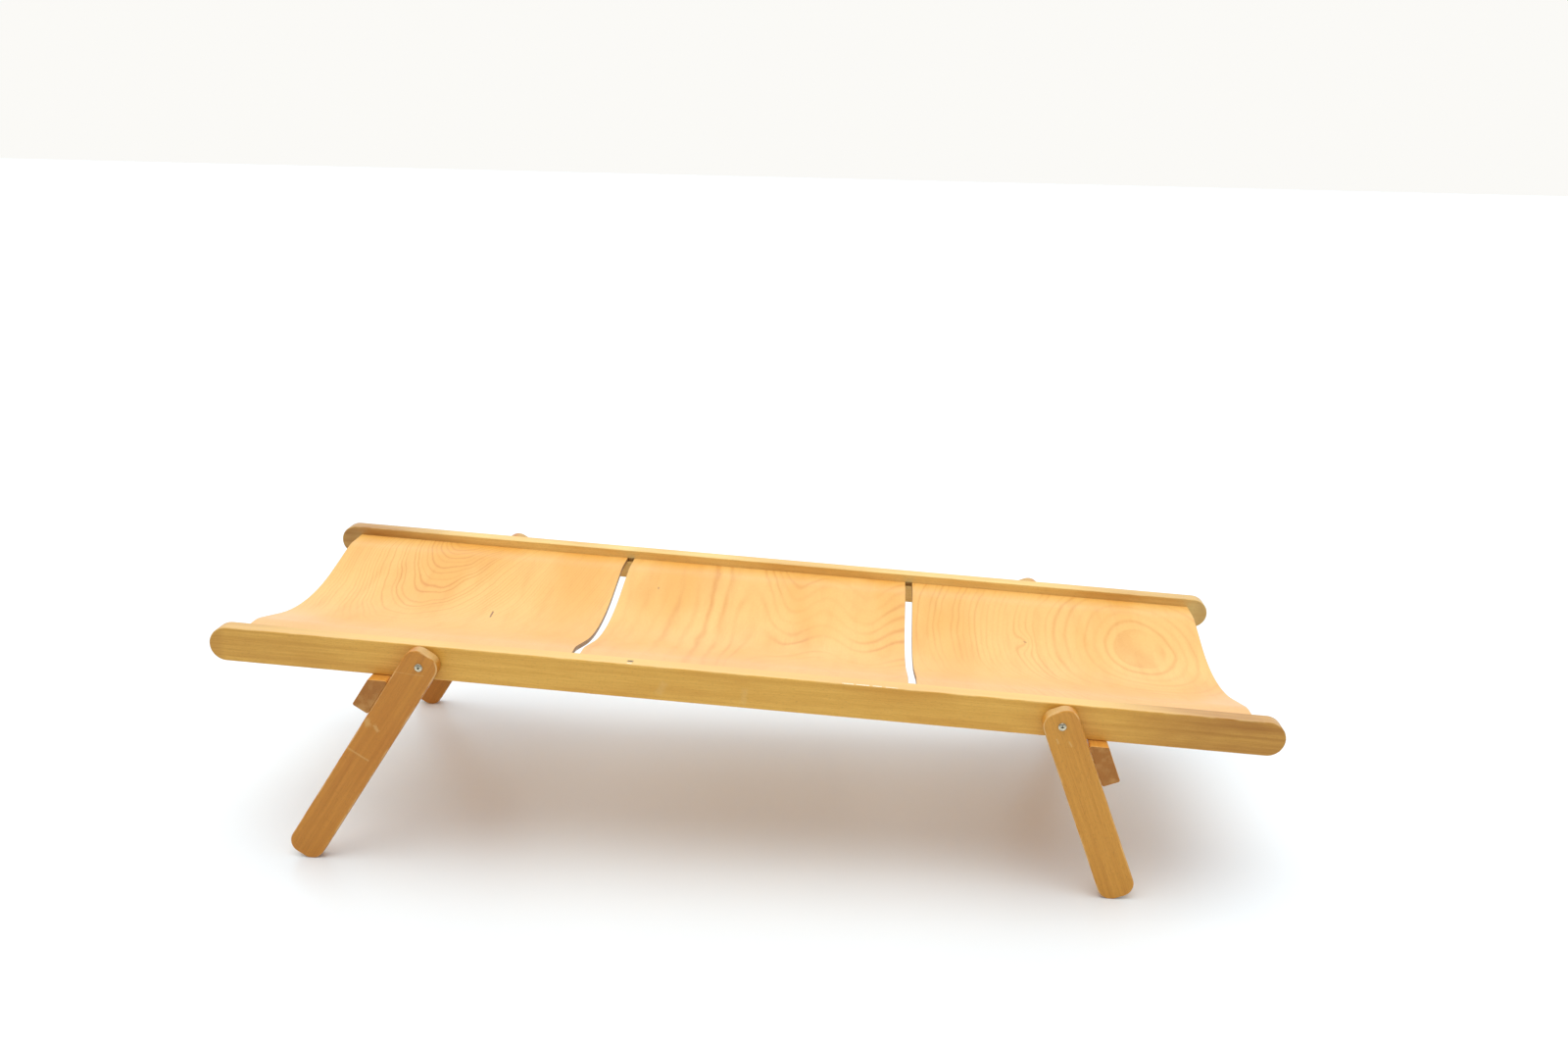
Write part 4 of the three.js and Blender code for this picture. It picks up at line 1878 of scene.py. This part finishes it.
FRONT_RAIL_MARKS = (
    Mark(-0.2015, 0.001, 0.009, 0.0075, 0, 1.0, DARK, Face.EDGE),
    Mark(-0.2015, 0.0125, 0.008, 0.0035, 0, 0.7, BARE, Face.EDGE),
    Mark(0.194, 0.0142, 0.020, 0.0030, 0, 0.8, BARE, Face.EDGE),
    Mark(0.221, 0.0145, 0.023, 0.0026, 0, 0.9, BARE, Face.EDGE),
    Mark(0.247, 0.0142, 0.016, 0.0030, 0, 0.8, BARE, Face.EDGE),
    Mark(0.273, 0.0146, 0.022, 0.0024, 0, 0.7, BARE, Face.EDGE),
    Mark(-0.140, -0.008, 0.026, 0.012, 65, 0.22, SCUFF),
    Mark(0.010, -0.010, 0.030, 0.010, 85, 0.22, SCUFF),
)
FRONT_LEG_MARKS: dict[End, tuple[Mark, ...]] = {
    End.HEAD: (
        Mark(0.021, -0.010, 0.058, 0.0010, 116, 0.32, SCUFF),
        Mark(0.146, -0.026, 0.015, 0.010, 40, 0.35, SCUFF),
        Mark(0.147, -0.006, 0.014, 0.006, 60, 0.35, SCUFF),
        Mark(0.211, -0.011, 0.050, 0.0034, 90, 0.30, SCUFF),
    ),
    End.FOOT: (
        Mark(0.036, 0.004, 0.012, 0.003, 10, 0.40, SCUFF),
        Mark(0.024, -0.016, 0.010, 0.003, 0, 0.40, SCUFF),
    ),
}

PANEL_VENEERS: dict[str, Veneer] = {
    "head": Veneer(
        name="head veneer",
        figure=Figure.CATHEDRAL,
        ring=0.0056,
        contrast=0.70,
        seed=3.1,
        marks=(Mark(0.001, -0.080, 0.036, 0.0032, 4, 1.0, CRACK),),
    ),
    "middle": Veneer(
        name="middle veneer",
        figure=Figure.WAVES,
        ring=0.0280,
        contrast=0.66,
        seed=5.3,
        marks=(Mark(0.189, 0.228, 0.009, 0.0030, 0, 0.7, KNOT),),
    ),
    "foot": Veneer(
        name="foot veneer",
        figure=Figure.OVALS,
        ring=0.0220,
        contrast=0.46,
        seed=8.7,
        marks=(Mark(0.103, 0.069, 0.008, 0.0040, 30, 0.7, KNOT),),
    ),
}

METALS: dict[str, Metal] = {
    "bolt": Metal("bolt plating", (0.62, 0.55, 0.40), (0.20, 0.17, 0.11), 0.13, recess=0.004, floor=0.0024),
    "washer": Metal("washer zinc", (0.66, 0.66, 0.64), (0.50, 0.49, 0.46), 0.34),
    "screw": Metal("screw zinc", (0.68, 0.67, 0.64), (0.48, 0.46, 0.42), 0.32, recess=0.0028, floor=-0.0003),
    "insert": Metal("insert brass", (0.72, 0.55, 0.26), (0.50, 0.36, 0.16), 0.36),
}


def rail_finish(side: Side) -> SolidBeech:
    """The wood of one side rail: the front one is chipped and scuffed and has a painted highlight on top;
    the back one is painted paler all over for the light on its inner face.

    Args:
        side: the side of the bed.

    Returns:
        The finish.
    """
    near = side is Side.FRONT
    pale, deep = RAIL_WOODS_AND_LIT_BACK[side]
    return SolidBeech(
        name=f"{side.word} rail beech",
        pale=pale,
        deep=deep,
        ripe=(0.60, 0.25, 0.022),
        butt=(0.56, 0.30, 0.085),
        worn=(0.95, 0.68, 0.30),
        seed=2.3 if near else 7.9,
        pith=(0.09, -0.16),
        ring=0.0026,
        ripeness=0.50,
        # The ends darken: painted shade beside the legs, with the wood's deeper tone there.
        soiled_from=(0.60, 0.93),
        # Painted highlight on the front rail's top face.
        bleach=0.40 if near else 0.0,
        wear=0.45,
        marks=FRONT_RAIL_MARKS if near else (),
    )


def leg_finish(end: End, side: Side) -> SolidBeech:
    """The wood of one leg: the front ones are scratched.

    Args:
        end: the end of the bed.
        side: the side of the bed.

    Returns:
        The finish.
    """
    number = (1 + end.value) + (1 + side.value) / 2
    pale, deep = LEG_WOODS[end]
    return SolidBeech(
        name=f"{end.word} {side.word} leg beech",
        pale=pale,
        deep=deep,
        ripe=LEG_RIPE,
        butt=(0.66, 0.37, 0.11),
        worn=(0.92, 0.62, 0.28),
        seed=11.7 + 4.1 * number,
        pith=(0.012, -0.045 - 0.006 * number),
        ring=0.0075,
        ripeness=0.40,
        wear=0.60,
        marks=FRONT_LEG_MARKS[end] if side is Side.FRONT else (),
    )


def stretcher_finish(end: End) -> SolidBeech:
    """The wood of one stretcher.

    Args:
        end: the end of the bed.

    Returns:
        The finish.
    """
    return SolidBeech(
        name=f"{end.word} stretcher beech",
        pale=(0.76, 0.35, 0.060),
        deep=(0.60, 0.24, 0.032),
        ripe=LEG_RIPE,
        butt=(0.42, 0.150, 0.018),
        worn=(0.86, 0.54, 0.20),
        seed=31.3 + 5.7 * end.value,
        pith=(-0.06, -0.04),
        ring=0.0055,
        ripeness=0.40,
        wear=0.35,
    )


def main() -> None:
    """Builds the studio and the bed, one sub-assembly after another."""
    logging.basicConfig(level=logging.INFO, format="%(name)s: %(message)s")
    Studio().build()
    deck = DeckFrame()
    SideRails(deck, {side: rail_finish(side) for side in Side}).build()
    Panels(deck, PANEL_VENEERS, PlyEdge()).build()
    pairs = []
    for end in End:
        pair = LegPair(deck, end, {side: leg_finish(end, side) for side in Side}, stretcher_finish(end))
        pair.build()
        pairs.append(pair)
    Fasteners(deck, pairs, METALS).build()


if __name__ == "__main__":
    main()
